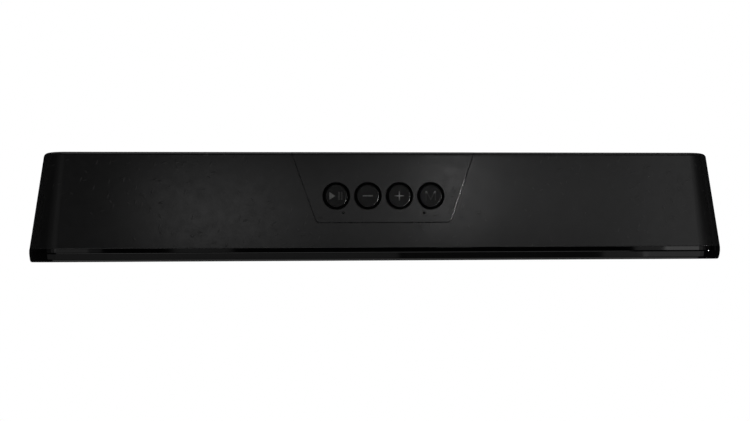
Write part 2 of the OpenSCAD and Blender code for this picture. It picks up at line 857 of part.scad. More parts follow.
module radiator_surround() {
    edge = radiator_h / 2 - radiator_rim;
    mid = edge - radiator_roll;
    inner_r = radiator_roll - 0.5;
    base = -0.6;
    arc = function (r, a) [mid + r * cos(a), base + 0.4 + r * sin(a)];
    color([0.05, 0.05, 0.05]) in_front(0) stadium_sweep() polygon(concat(
        [[mid - radiator_roll - 1.6, base], [mid - radiator_roll - 1.6, base + 0.4]],
        [for (a = [180:-15:0]) arc(radiator_roll, a)],
        [[edge + 3, base + 0.4], [edge + 3, base], [mid + inner_r, base]],
        [for (a = [0:15:180]) arc(inner_r, a)],
        [[mid - inner_r, base]]
    ));
}

module radiator_diaphragm() {
    inset = radiator_rim + 2 * radiator_roll;
    weight_l = 30;
    color([0.1, 0.1, 0.1]) in_front(0) {
        translate([0, 0, -0.6 - radiator_plate_t]) linear_extrude(radiator_plate_t)
            stadium(radiator_l - 2 * inset, radiator_h - 2 * inset);
        translate([0, 0, -0.6 - radiator_plate_t - 2]) linear_extrude(2 + EPS) stadium(weight_l, 14);
    }
}

// ---- Battery ----

// Two cells in series: the upper one is turned round, and a welded strip links them.
module battery_cells() {
    nub = 0.8;
    color([0.15, 0.35, 0.6]) {
        translate([cell_x, cell_y, cell_z[0]]) rotate([0, 90, 0]) {
            cylinder(r = cell_r, h = cell_l - nub);
            translate([0, 0, cell_l - nub - EPS]) cylinder(r = 2.6, h = nub + EPS);
        }
        translate([cell_x, cell_y, cell_z[1]]) rotate([0, 90, 0]) {
            cylinder(r = 2.6, h = nub + EPS);
            translate([0, 0, nub]) cylinder(r = cell_r, h = cell_l - nub);
        }
        translate([cell_x - 0.2, cell_y - 3, cell_z[0]]) cube([0.2 + EPS, 6, cell_z[1] - cell_z[0]]);
    }
}

module battery_cradle() {
    y0 = cell_y - 2;
    color([0.2, 0.2, 0.2]) difference() {
        union() {
            for (x = [cell_x + 4, cell_x + 31, cell_x + 58]) {
                translate([x, y0, cell_z[0] - 10.5]) cube([cradle_t, rear_inner - y0, 40.4]);
            }
            translate([cell_x + 4, rear_inner - 2, cell_z[0] - 10.5]) cube([57, 2, 40.4]);
        }
        for (z = cell_z) {
            translate([cell_x - 1, cell_y, z]) rotate([0, 90, 0]) cylinder(r = cell_r + 0.1, h = cell_l + 2);
        }
    }
}

// ---- Wiring ----

// Two leads to each driver, from the main board's header to the basket.
module speaker_leads() {
    color([0.6, 0.1, 0.1]) for (side = [-1, 1], k = [0, 1]) {
        z = 20.2 + 2.4 * k;
        dx = side * 1.3 * (1 - 2 * k);
        wire([
            [side * 43 + dx, main_y - main_t - 4.65, z],
            [side * 43.6 + dx, 8, z + 0.4],
            [side * 52 + dx, 3.5, z + 11],
            [side * 90, 1, z + 20],
            [side * 118, -4, z + 17.5],
            [side * 127.5, -11, z_axis + 1.6 + 2.4 * k],
            [side * (driver_x - 16), -11.5, z_axis - 1.4 + 2.8 * k]
        ], 0.7);
    }
}

// The battery's two leads, and the cable down from the control board.
module board_leads() {
    color([0.75, 0.1, 0.1]) {
        for (k = [0, 1]) wire([
            [-43.8 + 2.6 * k, main_y - main_t - 4.6, 12.2],
            [-44.2 + 2.6 * k, 8, 12 + 0.8 * k],
            [-47 + 2.6 * k, 5.6 - 1.8 * k, 12.6 + 5 * k],
            [-53, 8.5 - 3 * k, 14.6 + 15 * k],
            [cell_x + cell_l + 3, cell_y, cell_z[k]],
            [cell_x + cell_l + 0.1, cell_y, cell_z[k]]
        ], 0.7);
        for (k = [-1, 0, 1]) wire([
            [2.6 * k, 16.3, 47.9],
            [2.6 * k, 18.9, 47.6],
            [2.6 * k, 20.9, 45.4],
            [2.6 * k, 20.8, 41.8],
            [2.6 * k, 19.4, 38.6],
            [2.6 * k, 14, 37],
            [2.6 * k, 9.6, 33.6],
            [2.6 * k, 9, 28.2],
            [2.6 * k, main_y - main_t - 4.6, 26.2]
        ], 0.6);
    }
}

// ---- Nodes ----

rear_housing();
front_baffle();
front_bezel();
front_grille();
baffle_gasket();
rubber_feet();
baffle_screws();
control_panel();
play_pause_button();
volume_down_button();
volume_up_button();
mode_button();
plunger(0);  // play_pause_plunger
plunger(1);  // volume_down_plunger
plunger(2);  // volume_up_plunger
plunger(3);  // mode_plunger
tact_switches();
control_board();
status_led();
light_pipe();
microphone();
microphone_boot();
main_board();
board_screws();
usb_c_socket();
usb_a_socket();
aux_jack();
power_switch_body();
power_switch_knob();
bluetooth_module();
amplifier_chip();
capacitors();
wire_headers();
driver_basket(-driver_x);  // left_driver_basket
driver_top_plate(-driver_x);  // left_driver_top_plate
driver_magnet(-driver_x);  // left_driver_magnet
driver_yoke(-driver_x);  // left_driver_yoke
driver_voice_coil(-driver_x);  // left_driver_voice_coil
driver_spider(-driver_x);  // left_driver_spider
driver_cone(-driver_x);  // left_driver_cone
driver_surround(-driver_x);  // left_driver_surround
driver_dust_cap(-driver_x);  // left_driver_dust_cap
driver_basket(driver_x);  // right_driver_basket
driver_top_plate(driver_x);  // right_driver_top_plate
driver_magnet(driver_x);  // right_driver_magnet
driver_yoke(driver_x);  // right_driver_yoke
driver_voice_coil(driver_x);  // right_driver_voice_coil
driver_spider(driver_x);  // right_driver_spider
driver_cone(driver_x);  // right_driver_cone
driver_surround(driver_x);  // right_driver_surround
driver_dust_cap(driver_x);  // right_driver_dust_cap
driver_gaskets();
driver_screws();
radiator_frame();
radiator_surround();
radiator_diaphragm();
battery_cells();
battery_cradle();
speaker_leads();
board_leads();
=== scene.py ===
"""Looks of the desktop soundbar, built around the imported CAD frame.

Meshes are drawn in millimetres in the row frame and scaled to metres when they are made into pieces.
"""

import json
import math

import bmesh
import bpy
from mathutils import Matrix, Vector, geometry


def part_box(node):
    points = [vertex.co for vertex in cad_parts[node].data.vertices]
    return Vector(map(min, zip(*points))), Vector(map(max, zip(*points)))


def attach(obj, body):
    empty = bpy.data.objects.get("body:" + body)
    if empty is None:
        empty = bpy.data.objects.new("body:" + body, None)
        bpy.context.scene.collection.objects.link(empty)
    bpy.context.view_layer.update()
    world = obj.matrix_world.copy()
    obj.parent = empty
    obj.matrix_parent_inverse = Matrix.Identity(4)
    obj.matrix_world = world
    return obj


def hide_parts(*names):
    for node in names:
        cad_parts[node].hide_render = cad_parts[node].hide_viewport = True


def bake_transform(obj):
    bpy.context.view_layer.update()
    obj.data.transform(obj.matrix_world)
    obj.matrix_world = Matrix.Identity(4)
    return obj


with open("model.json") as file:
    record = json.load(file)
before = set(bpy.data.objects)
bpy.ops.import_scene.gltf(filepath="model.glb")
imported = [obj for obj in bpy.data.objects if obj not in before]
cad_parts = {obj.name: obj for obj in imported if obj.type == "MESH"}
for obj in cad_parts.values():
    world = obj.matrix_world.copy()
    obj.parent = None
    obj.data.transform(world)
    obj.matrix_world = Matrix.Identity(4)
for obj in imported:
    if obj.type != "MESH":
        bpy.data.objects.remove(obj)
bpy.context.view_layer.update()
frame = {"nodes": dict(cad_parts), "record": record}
NODES = frame["nodes"]
RECORD = frame["record"]
MM = 0.001


def box_mm(node):
    lo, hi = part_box(node)
    return [[round(v / MM, 2) for v in corner] for corner in (lo, hi)]


# ---------------------------------------------------------------- dimensions, mm

TUB_LO, TUB_HI = box_mm("rear_housing")
BEZEL_LO, BEZEL_HI = box_mm("front_bezel")
GRILLE_LO, GRILLE_HI = box_mm("front_grille")
BAFFLE_LO, BAFFLE_HI = box_mm("front_baffle")
FEET_LO, FEET_HI = box_mm("rubber_feet")

BAR_HW, BAR_H, FOOT_H = BEZEL_HI[0], TUB_HI[2], TUB_LO[2]
Y_FRONT, Y_SEAM, Y_BACK = BEZEL_LO[1], BEZEL_HI[1], TUB_HI[1]
BODY_D = Y_BACK - Y_SEAM
BODY_HW = BAR_HW - 0.3
SIDE_TAPER, TOP_DROP = 8.0, 3.0
CORNER_FRONT, CORNER_REAR = 19.5, 15.0
WALL, REAR_R = 3.0, 2.0
BEZEL_DROP = 0.6
Y_BAFFLE_REAR = Y_SEAM - 1.0
Y_BAFFLE_FRONT = BAFFLE_LO[1]
Z_AXIS = (FOOT_H + BAR_H) / 2

SLOPE = math.atan(TOP_DROP / BODY_D)
PANEL_START, PANEL_FRONT_HW, PANEL_REAR_HW = 13.8, 38.0, 52.2
PANEL_END = BODY_D / math.cos(SLOPE)
PANEL_FLARE = (PANEL_REAR_HW - PANEL_FRONT_HW) / (PANEL_END - PANEL_START)
PANEL_GAP, PANEL_PROUD, PANEL_T, PANEL_CORNER = 0.3, 0.2, 2.0, 1.2
LEDGE_N = PANEL_PROUD - PANEL_T
BUTTON_PITCH, BUTTON_ROW, BUTTON_R, WELL_R = 17.8, 29.1, 6.3, 7.8
BUTTON_X = [(i - 1.5) * BUTTON_PITCH for i in range(4)]
WELL_FLOOR, COLLAR_N, CAP_N, ICON_DEPTH = -2.2, -3.4, 0.35, 0.2
PINHOLE_X, PINHOLE_V, PINHOLE_R = 22.7, 19.4, 0.65
BAY_X, BAY_Z, BAY_DEPTH = (-50, 46), (11, 31), 1.0
PORT_Z, SWITCH_X, USB_C_X, AUX_X, USB_A_X = 21.0, -36.0, -16.0, 6.0, 31.0
REAR_INNER = Y_BACK - WALL
FOOT_POINTS = [(-160, -14), (160, -14), (-155, 18), (155, 18)]
DRIVER_X = 150.0

TRAY_N, TRAY_WALL, TRAY_INSET, TRAY_END = -12.9, 1.6, 2.6, 49.6
TRAY_BOSS_X, TRAY_BOSS_V, TRAY_BOSS_TOP = (-32, 32), (21, 37.5), -10.9
BOARD_BOSS_X, BOARD_BOSS_Z, BOARD_BOSS_LENGTH = (-50, 50), (11, 31), 9.7
SCREW_X, SCREW_EDGE, SCREW_END = (-112, -62, 62, 112), 9.2, 8.6
POST_R, POST_LENGTH, WEB_T, WEB_REACH = 3.5, 22, 1.6, 7.1
GRILLE_INSET, GRILLE_PITCH, GRILLE_HOLE_R, GRILLE_MARGIN = 5.5, 3.0, 0.95, 3.2
FOOT_R, FOOT_WELL_R, FOOT_EDGE = 7.0, 7.2, 0.8
RADIATOR_HALF = 24.0

ON_TOP = Matrix.Translation((0, Y_SEAM, BAR_H)) @ Matrix.Rotation(-SLOPE, 4, "X")


def in_front(x):
    """A driver's frame: local Z towards the front, 0 at the baffle's rear face."""
    return Matrix.Translation((x, Y_BAFFLE_REAR, Z_AXIS)) @ Matrix.Rotation(math.pi / 2, 4, "X")


# ---------------------------------------------------------------- mesh building

def rounded_rect(hw, z0, z1, r, n):
    """Outline points (x, z) of an upright rectangle with round corners, n steps a corner."""
    points = []
    corners = ((hw - r, z0 + r, -90), (hw - r, z1 - r, 0), (r - hw, z1 - r, 90), (r - hw, z0 + r, 180))
    for cx, cz, start in corners:
        for k in range(n + 1):
            a = math.radians(start + 90 * k / n)
            points.append((cx + r * math.cos(a), cz + r * math.sin(a)))
    return points


def arc(x, y, r, degrees):
    return [(x + r * math.cos(math.radians(a)), y + r * math.sin(math.radians(a))) for a in degrees]


def stadium(length, height, n=16):
    r, half = height / 2, (length - height) / 2
    return [
        (side * half + r * math.cos(math.radians(start + 180 * k / n)), r * math.sin(math.radians(start + 180 * k / n)))
        for side, start in ((1, -90), (-1, 90))
        for k in range(n + 1)
    ]


def circle(r, n, cx=0.0, cy=0.0):
    return [(cx + r * math.cos(2 * math.pi * k / n), cy + r * math.sin(2 * math.pi * k / n)) for k in range(n)]


def bm_loft(bm, rings, closed=False):
    """Skins a list of equal rings; open lofts are capped, closed ones run back to the first ring."""
    made = [[bm.verts.new(p) for p in ring] for ring in rings]
    count = len(made[0])
    pairs = list(zip(made, made[1:])) + ([(made[-1], made[0])] if closed else [])
    for a, b in pairs:
        for k in range(count):
            m = (k + 1) % count
            bm.faces.new((a[k], a[m], b[m], b[k]))
    if not closed:
        bm.faces.new(made[0][::-1])
        bm.faces.new(made[-1])


def bm_prism(bm, outline, lo, hi, axis="z"):
    """Extrudes a 2D outline along Z, or stands it up in XZ and extrudes along Y."""
    place = (lambda p, h: (p[0], p[1], h)) if axis == "z" else (lambda p, h: (p[0], h, p[1]))
    bm_loft(bm, [[place(p, lo) for p in outline], [place(p, hi) for p in outline]])


def bm_lathe(bm, profile, n, matrix=Matrix.Identity(4), closed=False):
    """Turns a profile of (radius, height) about local Z. Zero radii become poles."""
    rings = []
    for r, h in profile:
        if r < 1e-6:
            rings.append([bm.verts.new(matrix @ Vector((0, 0, h)))])
        else:
            rings.append([bm.verts.new(matrix @ Vector((x, y, h))) for x, y in circle(r, n)])
    pairs = list(zip(rings, rings[1:])) + ([(rings[-1], rings[0])] if closed else [])
    for a, b in pairs:
        for k in range(n):
            m = (k + 1) % n
            if len(a) == 1 and len(b) > 1:
                bm.faces.new((a[0], b[m], b[k]))
            elif len(b) == 1 and len(a) > 1:
                bm.faces.new((a[k], a[m], b[0]))
            elif len(a) > 1:
                bm.faces.new((a[k], a[m], b[m], b[k]))
    return rings


def new_bm(build, *args, matrix=None, **kwargs):
    bm = bmesh.new()
    build(bm, *args, **kwargs)
    bmesh.ops.recalc_face_normals(bm, faces=bm.faces)
    if matrix is not None:
        bm.transform(matrix)
    return bm


def to_object(bm, name):
    me = bpy.data.meshes.new(name)
    bm.to_mesh(me)
    bm.free()
    ob = bpy.data.objects.new(name, me)
    bpy.context.scene.collection.objects.link(ob)
    return ob


def apply_modifiers(ob):
    bpy.context.view_layer.update()
    me = bpy.data.meshes.new_from_object(ob.evaluated_get(bpy.context.evaluated_depsgraph_get()))
    ob.modifiers.clear()
    old, ob.data = ob.data, me
    bpy.data.meshes.remove(old)


def carve(ob, cutter_bm, operation="DIFFERENCE"):
    """Exact boolean of ob with a closed bmesh, applied at once."""
    cutter = to_object(cutter_bm, "cutter")
    mod = ob.modifiers.new("carve", "BOOLEAN")
    mod.operation, mod.solver, mod.object = operation, "EXACT", cutter
    apply_modifiers(ob)
    me = cutter.data
    bpy.data.objects.remove(cutter)
    bpy.data.meshes.remove(me)


def soften(ob, wanted, width, segments=3, edge_material=None, clamp=True):
    """Rounds the sharp edges for which wanted(edge) is true."""
    bm = bmesh.new()
    bm.from_mesh(ob.data)
    bmesh.ops.remove_doubles(bm, verts=bm.verts, dist=0.002)
    bmesh.ops.dissolve_degenerate(bm, edges=bm.edges, dist=0.002)
    edges = [
        e for e in bm.edges
        if len(e.link_faces) == 2 and e.calc_face_angle(0) > math.radians(32) and wanted(e)
    ]
    made = bmesh.ops.bevel(
        bm, geom=edges, offset=width, offset_type="OFFSET", segments=segments, profile=0.5,
        affect="EDGES", clamp_overlap=clamp, miter_outer="ARC" if clamp else "SHARP",
    )
    if edge_material is not None:
        for f in made["faces"]:
            f.material_index = edge_material
    bm.to_mesh(ob.data)
    bm.free()


def finish_piece(ob, body, materials, replaces=(), angle=30, weighted=True):
    """Scales a piece to metres, shades it, gives it its materials and hooks it to the frame."""
    me = ob.data
    me.transform(Matrix.Scale(MM, 4))
    bm = bmesh.new()
    bm.from_mesh(me)
    bmesh.ops.recalc_face_normals(bm, faces=bm.faces)
    bm.to_mesh(me)
    bm.free()
    kinds = [p.material_index for p in me.polygons]
    me.materials.clear()
    for m in materials:
        me.materials.append(m)
    me.polygons.foreach_set("material_index", kinds)
    me.shade_smooth()
    me.set_sharp_from_angle(angle=math.radians(angle))
    if weighted:
        mod = ob.modifiers.new("normals", "WEIGHTED_NORMAL")
        mod.keep_sharp, mod.mode, mod.weight = True, "FACE_AREA", 80
    if body is not None:
        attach(ob, body)
    if replaces:
        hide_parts(*replaces)
    return ob


# ---------------------------------------------------------------- materials

class Graph:
    """A small helper to wire shader nodes."""

    def __init__(self, name):
        self.mat = bpy.data.materials.new(name)
        self.mat.use_nodes = True
        self.tree = self.mat.node_tree
        self.shader = next(n for n in self.tree.nodes if n.type == "BSDF_PRINCIPLED")
        self.coords = self.node("ShaderNodeTexCoord").outputs["Object"]

    def node(self, kind, **values):
        n = self.tree.nodes.new(kind)
        for key, value in values.items():
            setattr(n, key, value)
        return n

    def link(self, a, b):
        self.tree.links.new(a, b)

    def stretched(self, scale):
        n = self.node("ShaderNodeMapping")
        n.inputs["Scale"].default_value = scale
        self.link(self.coords, n.inputs["Vector"])
        return n.outputs["Vector"]

    def noise(self, scale, detail=2.0, rough=0.5, vector=None):
        n = self.node("ShaderNodeTexNoise")
        n.inputs["Scale"].default_value = scale
        n.inputs["Detail"].default_value = detail
        n.inputs["Roughness"].default_value = rough
        self.link(vector or self.coords, n.inputs["Vector"])
        return n.outputs["Fac"]

    def voronoi(self, scale, vector=None):
        n = self.node("ShaderNodeTexVoronoi")
        n.inputs["Scale"].default_value = scale
        self.link(vector or self.coords, n.inputs["Vector"])
        return n

    def remap(self, value, a, b, c, d, smooth=False):
        n = self.node("ShaderNodeMapRange")
        n.interpolation_type = "SMOOTHSTEP" if smooth else "LINEAR"
        for key, v in zip(("From Min", "From Max", "To Min", "To Max"), (a, b, c, d)):
            n.inputs[key].default_value = v
        self.link(value, n.inputs["Value"])
        return n.outputs["Result"]

    def math(self, operation, a, b):
        n = self.node("ShaderNodeMath", operation=operation)
        for i, v in enumerate((a, b)):
            if isinstance(v, (int, float)):
                n.inputs[i].default_value = v
            else:
                self.link(v, n.inputs[i])
        return n.outputs[0]

    def mix(self, factor, a, b):
        """Colours a and b are tuples or sockets."""
        n = self.node("ShaderNodeMix", data_type="RGBA")
        self.link(factor, n.inputs[0])
        for i, v in ((6, a), (7, b)):
            if isinstance(v, tuple):
                n.inputs[i].default_value = (*v, 1.0)
            else:
                self.link(v, n.inputs[i])
        return n.outputs[2]

    def bump(self, height, distance):
        n = self.node("ShaderNodeBump")
        n.inputs["Strength"].default_value = 1.0
        n.inputs["Distance"].default_value = distance
        self.link(height, n.inputs["Height"])
        return n.outputs["Normal"]

    def set(self, **sockets):
        names = {
            "colour": "Base Color", "rough": "Roughness", "normal": "Normal", "metal": "Metallic",
            "spec": "Specular IOR Level", "coat": "Coat Weight", "sheen": "Sheen Weight",
            "transmission": "Transmission Weight", "ior": "IOR",
        }
        for key, v in sockets.items():
            socket = self.shader.inputs[names[key]]
            if isinstance(v, tuple):
                socket.default_value = (*v, 1.0)
            elif isinstance(v, (int, float)):
                socket.default_value = v
            else:
                self.link(v, socket)
        return self.mat


def shade(colour, k):
    return tuple(c * k for c in colour)


def specks(g, scale, size, share):
    """Sparse small dots: 1 in a dot, 0 elsewhere."""
    v = g.voronoi(scale)
    dot = g.remap(v.outputs["Distance"], size * 0.6, size, 1, 0, smooth=True)
    pick = g.math("GREATER_THAN", v.outputs["Color"], 1 - share)
    return g.math("MULTIPLY", dot, pick)


DUST = (0.5, 0.5, 0.48)


def matte_plastic(name, colour, rough=0.5, grain=2600, depth=6e-6, dust=0.25, spec=0.5, handled=False):
    """Moulded plastic with a spark-eroded grain, slight mottling and a little dust; handled adds marks on top."""
    g = Graph(name)
    mottle = g.noise(38, 3, 0.55)
    fine = g.noise(grain, 2, 0.6)
    coarse = g.noise(grain * 0.28, 2, 0.5)
    base = g.mix(g.remap(mottle, 0.3, 0.7, 0, 1), shade(colour, 0.88), shade(colour, 1.12))
    motes = specks(g, 240, 0.035, 0.12)
    height = g.math("ADD", fine, g.math("MULTIPLY", coarse, 1.2))
    if handled:
        marks = handling_marks(g)
        motes = g.math("ADD", motes, g.math("MULTIPLY", marks, 0.04))
        height = g.math("ADD", height, g.math("MULTIPLY", marks, 4.5))
    base = g.mix(g.math("MULTIPLY", motes, dust), base, DUST)
    return g.set(
        colour=base, spec=spec, rough=g.remap(g.noise(220, 3, 0.6), 0.25, 0.75, rough - 0.03, rough + 0.03),
        normal=g.bump(height, depth),
    )


def handling_marks(g):
    """Short scratches and lint in three directions, gathered in patches on the top face."""
    marks = 0.0
    # each: turn in radians, cell length and width in metres; a dash is about a tenth of its cell
    for turn, length, width in ((0.3, 0.018, 0.006), (1.25, 0.02, 0.005), (2.3, 0.014, 0.007)):
        n = g.node("ShaderNodeMapping")
        n.vector_type = "TEXTURE"
        n.inputs["Rotation"].default_value = (0, 0, turn)
        n.inputs["Scale"].default_value = (length, width, 1)
        g.link(g.coords, n.inputs["Vector"])
        v = g.voronoi(1.0, vector=n.outputs["Vector"])
        v.voronoi_dimensions = "2D"
        dash = g.remap(v.outputs["Distance"], 0.03, 0.09, 1, 0, smooth=True)
        picked = g.math("MULTIPLY", dash, g.math("GREATER_THAN", v.outputs["Color"], 0.4))
        marks = g.math("ADD", picked, marks)
    patches = g.remap(g.noise(22, 3, 0.6), 0.38, 0.58, 0, 1, smooth=True)
    split = g.node("ShaderNodeSeparateXYZ")
    g.link(g.coords, split.inputs["Vector"])
    on_top = g.remap(split.outputs["Z"], 0.048, 0.054, 0, 1)
    return g.math("MULTIPLY", g.math("MULTIPLY", marks, patches), on_top)


def worn_edge(name, colour, rough):
    """The same plastic where hands have polished its edge."""
    g = Graph(name)
    patch = g.noise(160, 3, 0.6)
    return g.set(
        colour=g.mix(g.remap(patch, 0.35, 0.65, 0, 1), colour, shade(colour, 2.2)),
        rough=g.remap(patch, 0.3, 0.7, rough, rough - 0.12), normal=g.bump(g.noise(2400, 2), 3e-6),
    )


def gloss_plastic(name, colour, rough=0.06, haze=0.05, ripple=1.2e-5, spec=0.5):
    """Piano-gloss moulding: faint ripple, hairline scratches and dust."""
    g = Graph(name)
    hair = g.noise(9, 6, 0.75, vector=g.stretched((14, 260, 260)))
    smudge = g.noise(24, 4, 0.6)
    base = g.mix(specks(g, 300, 0.03, 0.08), colour, (0.22, 0.22, 0.21))
    rough_map = g.math("ADD", g.remap(smudge, 0.35, 0.75, rough * 0.6, rough + haze),
                       g.remap(hair, 0.62, 0.72, 0, haze))
    return g.set(colour=base, spec=spec, rough=rough_map, normal=g.bump(g.noise(55, 2, 0.4), ripple))


def rubber(name, colour, rough=0.8, grain=1500, depth=1.2e-5):
    g = Graph(name)
    return g.set(
        colour=g.mix(g.remap(g.noise(90, 4, 0.6), 0.3, 0.7, 0, 1), shade(colour, 0.7), shade(colour, 1.5)),
        rough=g.remap(g.noise(300, 3), 0.3, 0.7, rough - 0.08, rough + 0.08), spec=0.4,
        normal=g.bump(g.noise(grain, 3, 0.6), depth),
    )


def foam(name, colour):
    g = Graph(name)
    cells = g.voronoi(1400).outputs["Distance"]
    return g.set(colour=g.mix(cells, shade(colour, 0.5), shade(colour, 1.6)), rough=g.remap(cells, 0, 0.6, 0.86, 0.98),
                 spec=0.3, normal=g.bump(cells, 1.5e-4))


def metal(name, colour, rough=0.3, stretch=(60, 900, 60), depth=3e-6):
    """Bright metal with a fine directional finish."""
    g = Graph(name)
    lines = g.noise(4, 5, 0.65, vector=g.stretched(stretch))
    return g.set(
        colour=g.mix(g.remap(g.noise(70, 3), 0.3, 0.7, 0, 1), shade(colour, 0.82), colour), metal=1.0,
        rough=g.remap(lines, 0.3, 0.7, rough - 0.08, rough + 0.12), normal=g.bump(lines, depth),
    )


def painted_metal(name, colour, rough=0.42, grain=1100, depth=1.4e-5):
    """Powder coat over sheet steel: orange peel with slightly glossier crowns."""
    g = Graph(name)
    peel = g.noise(grain, 3, 0.5)
    return g.set(
        colour=g.mix(g.remap(g.noise(45, 3), 0.3, 0.7, 0, 1), shade(colour, 0.8), shade(colour, 1.3)),
        rough=g.remap(peel, 0.35, 0.65, rough + 0.08, rough - 0.06), normal=g.bump(peel, depth),
    )


def laminate(name, mask):
    """Circuit board: solder mask over copper tracks, with tinned pads and a woven core."""
    g = Graph(name)
    tracks = g.node("ShaderNodeTexBrick")
    tracks.inputs["Scale"].default_value = 420
    tracks.inputs["Mortar Size"].default_value = 0.07
    tracks.inputs["Color1"].default_value = (0, 0, 0, 1)
    tracks.inputs["Color2"].default_value = (0, 0, 0, 1)
    tracks.inputs["Mortar"].default_value = (1, 1, 1, 1)
    turn = g.node("ShaderNodeMapping")
    turn.inputs["Rotation"].default_value = (math.pi / 2, 0, 0)
    g.link(g.coords, turn.inputs["Vector"])
    g.link(turn.outputs["Vector"], tracks.inputs["Vector"])
    region = g.math("GREATER_THAN", g.noise(60, 1), 0.52)
    copper = g.math("MULTIPLY", tracks.outputs["Color"], region)
    pads = specks(g, 520, 0.22, 0.25)
    base = g.mix(copper, mask, shade(mask, 1.9))
    base = g.mix(pads, base, (0.62, 0.6, 0.55))
    height = g.math("ADD", copper, pads)
    return g.set(colour=base, rough=g.remap(g.noise(200), 0.3, 0.7, 0.28, 0.42), coat=0.3,
                 normal=g.bump(height, 3e-5))


def cloth(name, colour, scale=1500):
    """Plain weave in resin-stiffened cloth."""
    g = Graph(name)
    weave = []
    for direction in ("X", "Z"):
        w = g.node("ShaderNodeTexWave", bands_direction=direction)
        w.inputs["Scale"].default_value = scale / 6
        w.inputs["Distortion"].default_value = 0.3
        g.link(g.coords, w.inputs["Vector"])
        weave.append(w.outputs["Fac"])
    yarn = g.math("MULTIPLY", weave[0], weave[1])
    return g.set(colour=g.mix(yarn, shade(colour, 0.55), shade(colour, 1.15)), rough=g.remap(yarn, 0, 1, 0.9, 0.7),
                 sheen=0.2, normal=g.bump(yarn, 5e-5))


def winding(name, colour):
    """Enamelled wire, layer wound: bands along the coil's axis."""
    g = Graph(name)
    w = g.node("ShaderNodeTexWave", bands_direction="Y")
    w.inputs["Scale"].default_value = 1100
    g.link(g.coords, w.inputs["Vector"])
    return g.set(colour=g.mix(w.outputs["Fac"], shade(colour, 0.35), colour), metal=0.9,
                 rough=g.remap(w.outputs["Fac"], 0, 1, 0.45, 0.25), coat=0.5, normal=g.bump(w.outputs["Fac"], 8e-5))


def sleeve(name, colour, rough=0.3):
    """Shrink sleeve or wire insulation: soft gloss with slow ripples."""
    g = Graph(name)
    wrinkle = g.noise(140, 4, 0.6, vector=g.stretched((0.4, 1, 1)))
    return g.set(colour=g.mix(g.remap(wrinkle, 0.3, 0.7, 0, 1), shade(colour, 0.8), shade(colour, 1.15)),
                 rough=g.remap(wrinkle, 0.3, 0.7, rough - 0.06, rough + 0.12), coat=0.25,
                 normal=g.bump(wrinkle, 6e-5))


def clear_plastic(name):
    g = Graph(name)
    return g.set(colour=g.mix(g.noise(300), (0.86, 0.88, 0.9), (0.95, 0.96, 0.97)), ior=1.49, transmission=1.0,
                 rough=g.remap(g.noise(400), 0.3, 0.7, 0.05, 0.16), normal=g.bump(g.noise(500), 6e-6))


def ink(name, colour, falloff=None):
    """Pad-printed legend: chalky, a little thin in places. fade=(centre, axes, start, end, rest) darkens it
    with the distance from a point, measured along the given axes only."""
    g = Graph(name)
    cover = g.remap(g.noise(1300, 4, 0.7), 0.32, 0.62, 0.55, 1)
    if falloff:
        centre, axes, start, end, rest = falloff
        n = g.node("ShaderNodeMapping")
        n.inputs["Location"].default_value = tuple(-c * k * MM for c, k in zip(centre, axes))
        n.inputs["Scale"].default_value = axes
        g.link(g.coords, n.inputs["Vector"])
        reach = g.node("ShaderNodeVectorMath", operation="LENGTH")
        g.link(n.outputs["Vector"], reach.inputs[0])
        cover = g.math("MULTIPLY", cover, g.remap(reach.outputs["Value"], start * MM, end * MM, 1, rest))
    return g.set(colour=g.mix(cover, shade(colour, 0.05), colour), rough=g.remap(g.noise(900), 0.3, 0.7, 0.4, 0.6),
                 normal=g.bump(g.noise(2500), 5e-6))


BLACK = (0.022, 0.022, 0.0225)
SLOT = {
    "housing_black": matte_plastic("housing_black", BLACK, 0.22, dust=0.8, handled=True),
    "panel_black": matte_plastic("panel_black", BLACK, 0.22, dust=0.8, handled=True),
    "inner_black": matte_plastic("inner_black", (0.02, 0.02, 0.02), 0.55, grain=1600, dust=0.1),
    "bezel_gloss": gloss_plastic("bezel_gloss", (0.003, 0.003, 0.0032)),
    "grille_black": painted_metal("grille_black", (0.03, 0.03, 0.03)),
    "foam_black": foam("foam_black", (0.03, 0.03, 0.03)),
    "foot_rubber": rubber("foot_rubber", (0.018, 0.018, 0.018)),
    "black_screw": metal("black_screw", (0.09, 0.09, 0.095), 0.38),
    "plated_screw": metal("plated_screw", (0.66, 0.66, 0.67), 0.28),
    "button_black": matte_plastic("button_black", (0.008, 0.008, 0.008), 0.4, grain=3400, depth=3e-6, dust=0.4,
                                  spec=0.32),
    "plunger_ivory": matte_plastic("plunger_ivory", (0.75, 0.72, 0.62), 0.45, dust=0),
    "switch_black": matte_plastic("switch_black", (0.022, 0.022, 0.022), 0.42, grain=1800, dust=0.1),
    "board_green": laminate("board_green", (0.01, 0.11, 0.04)),
    "clear_plastic": clear_plastic("clear_plastic"),
    "plated_steel": metal("plated_steel", (0.6, 0.6, 0.62), 0.3, stretch=(300, 40, 300), depth=1e-6),
    "capacitor_sleeve": sleeve("capacitor_sleeve", (0.02, 0.03, 0.13)),
    "cell_wrap": sleeve("cell_wrap", (0.03, 0.14, 0.36)),
    "basket_steel": painted_metal("basket_steel", (0.045, 0.045, 0.047), 0.38),
    "motor_steel": metal("motor_steel", (0.58, 0.58, 0.6), 0.32, stretch=(200, 200, 200)),
    "ferrite": painted_metal("ferrite", (0.035, 0.035, 0.036), 0.62, grain=800, depth=3e-5),
    "copper_coil": winding("copper_coil", (0.72, 0.36, 0.16)),
    "spider_cloth": cloth("spider_cloth", (0.55, 0.36, 0.12)),
    "cone_black": matte_plastic("cone_black", (0.018, 0.018, 0.019), 0.5, grain=900, depth=1.5e-5, dust=0.1),
    "surround_rubber": rubber("surround_rubber", (0.012, 0.012, 0.012), 0.6, 2200, 5e-6),
    "lead_sleeve": sleeve("lead_sleeve", (0.42, 0.02, 0.02), 0.38),
}
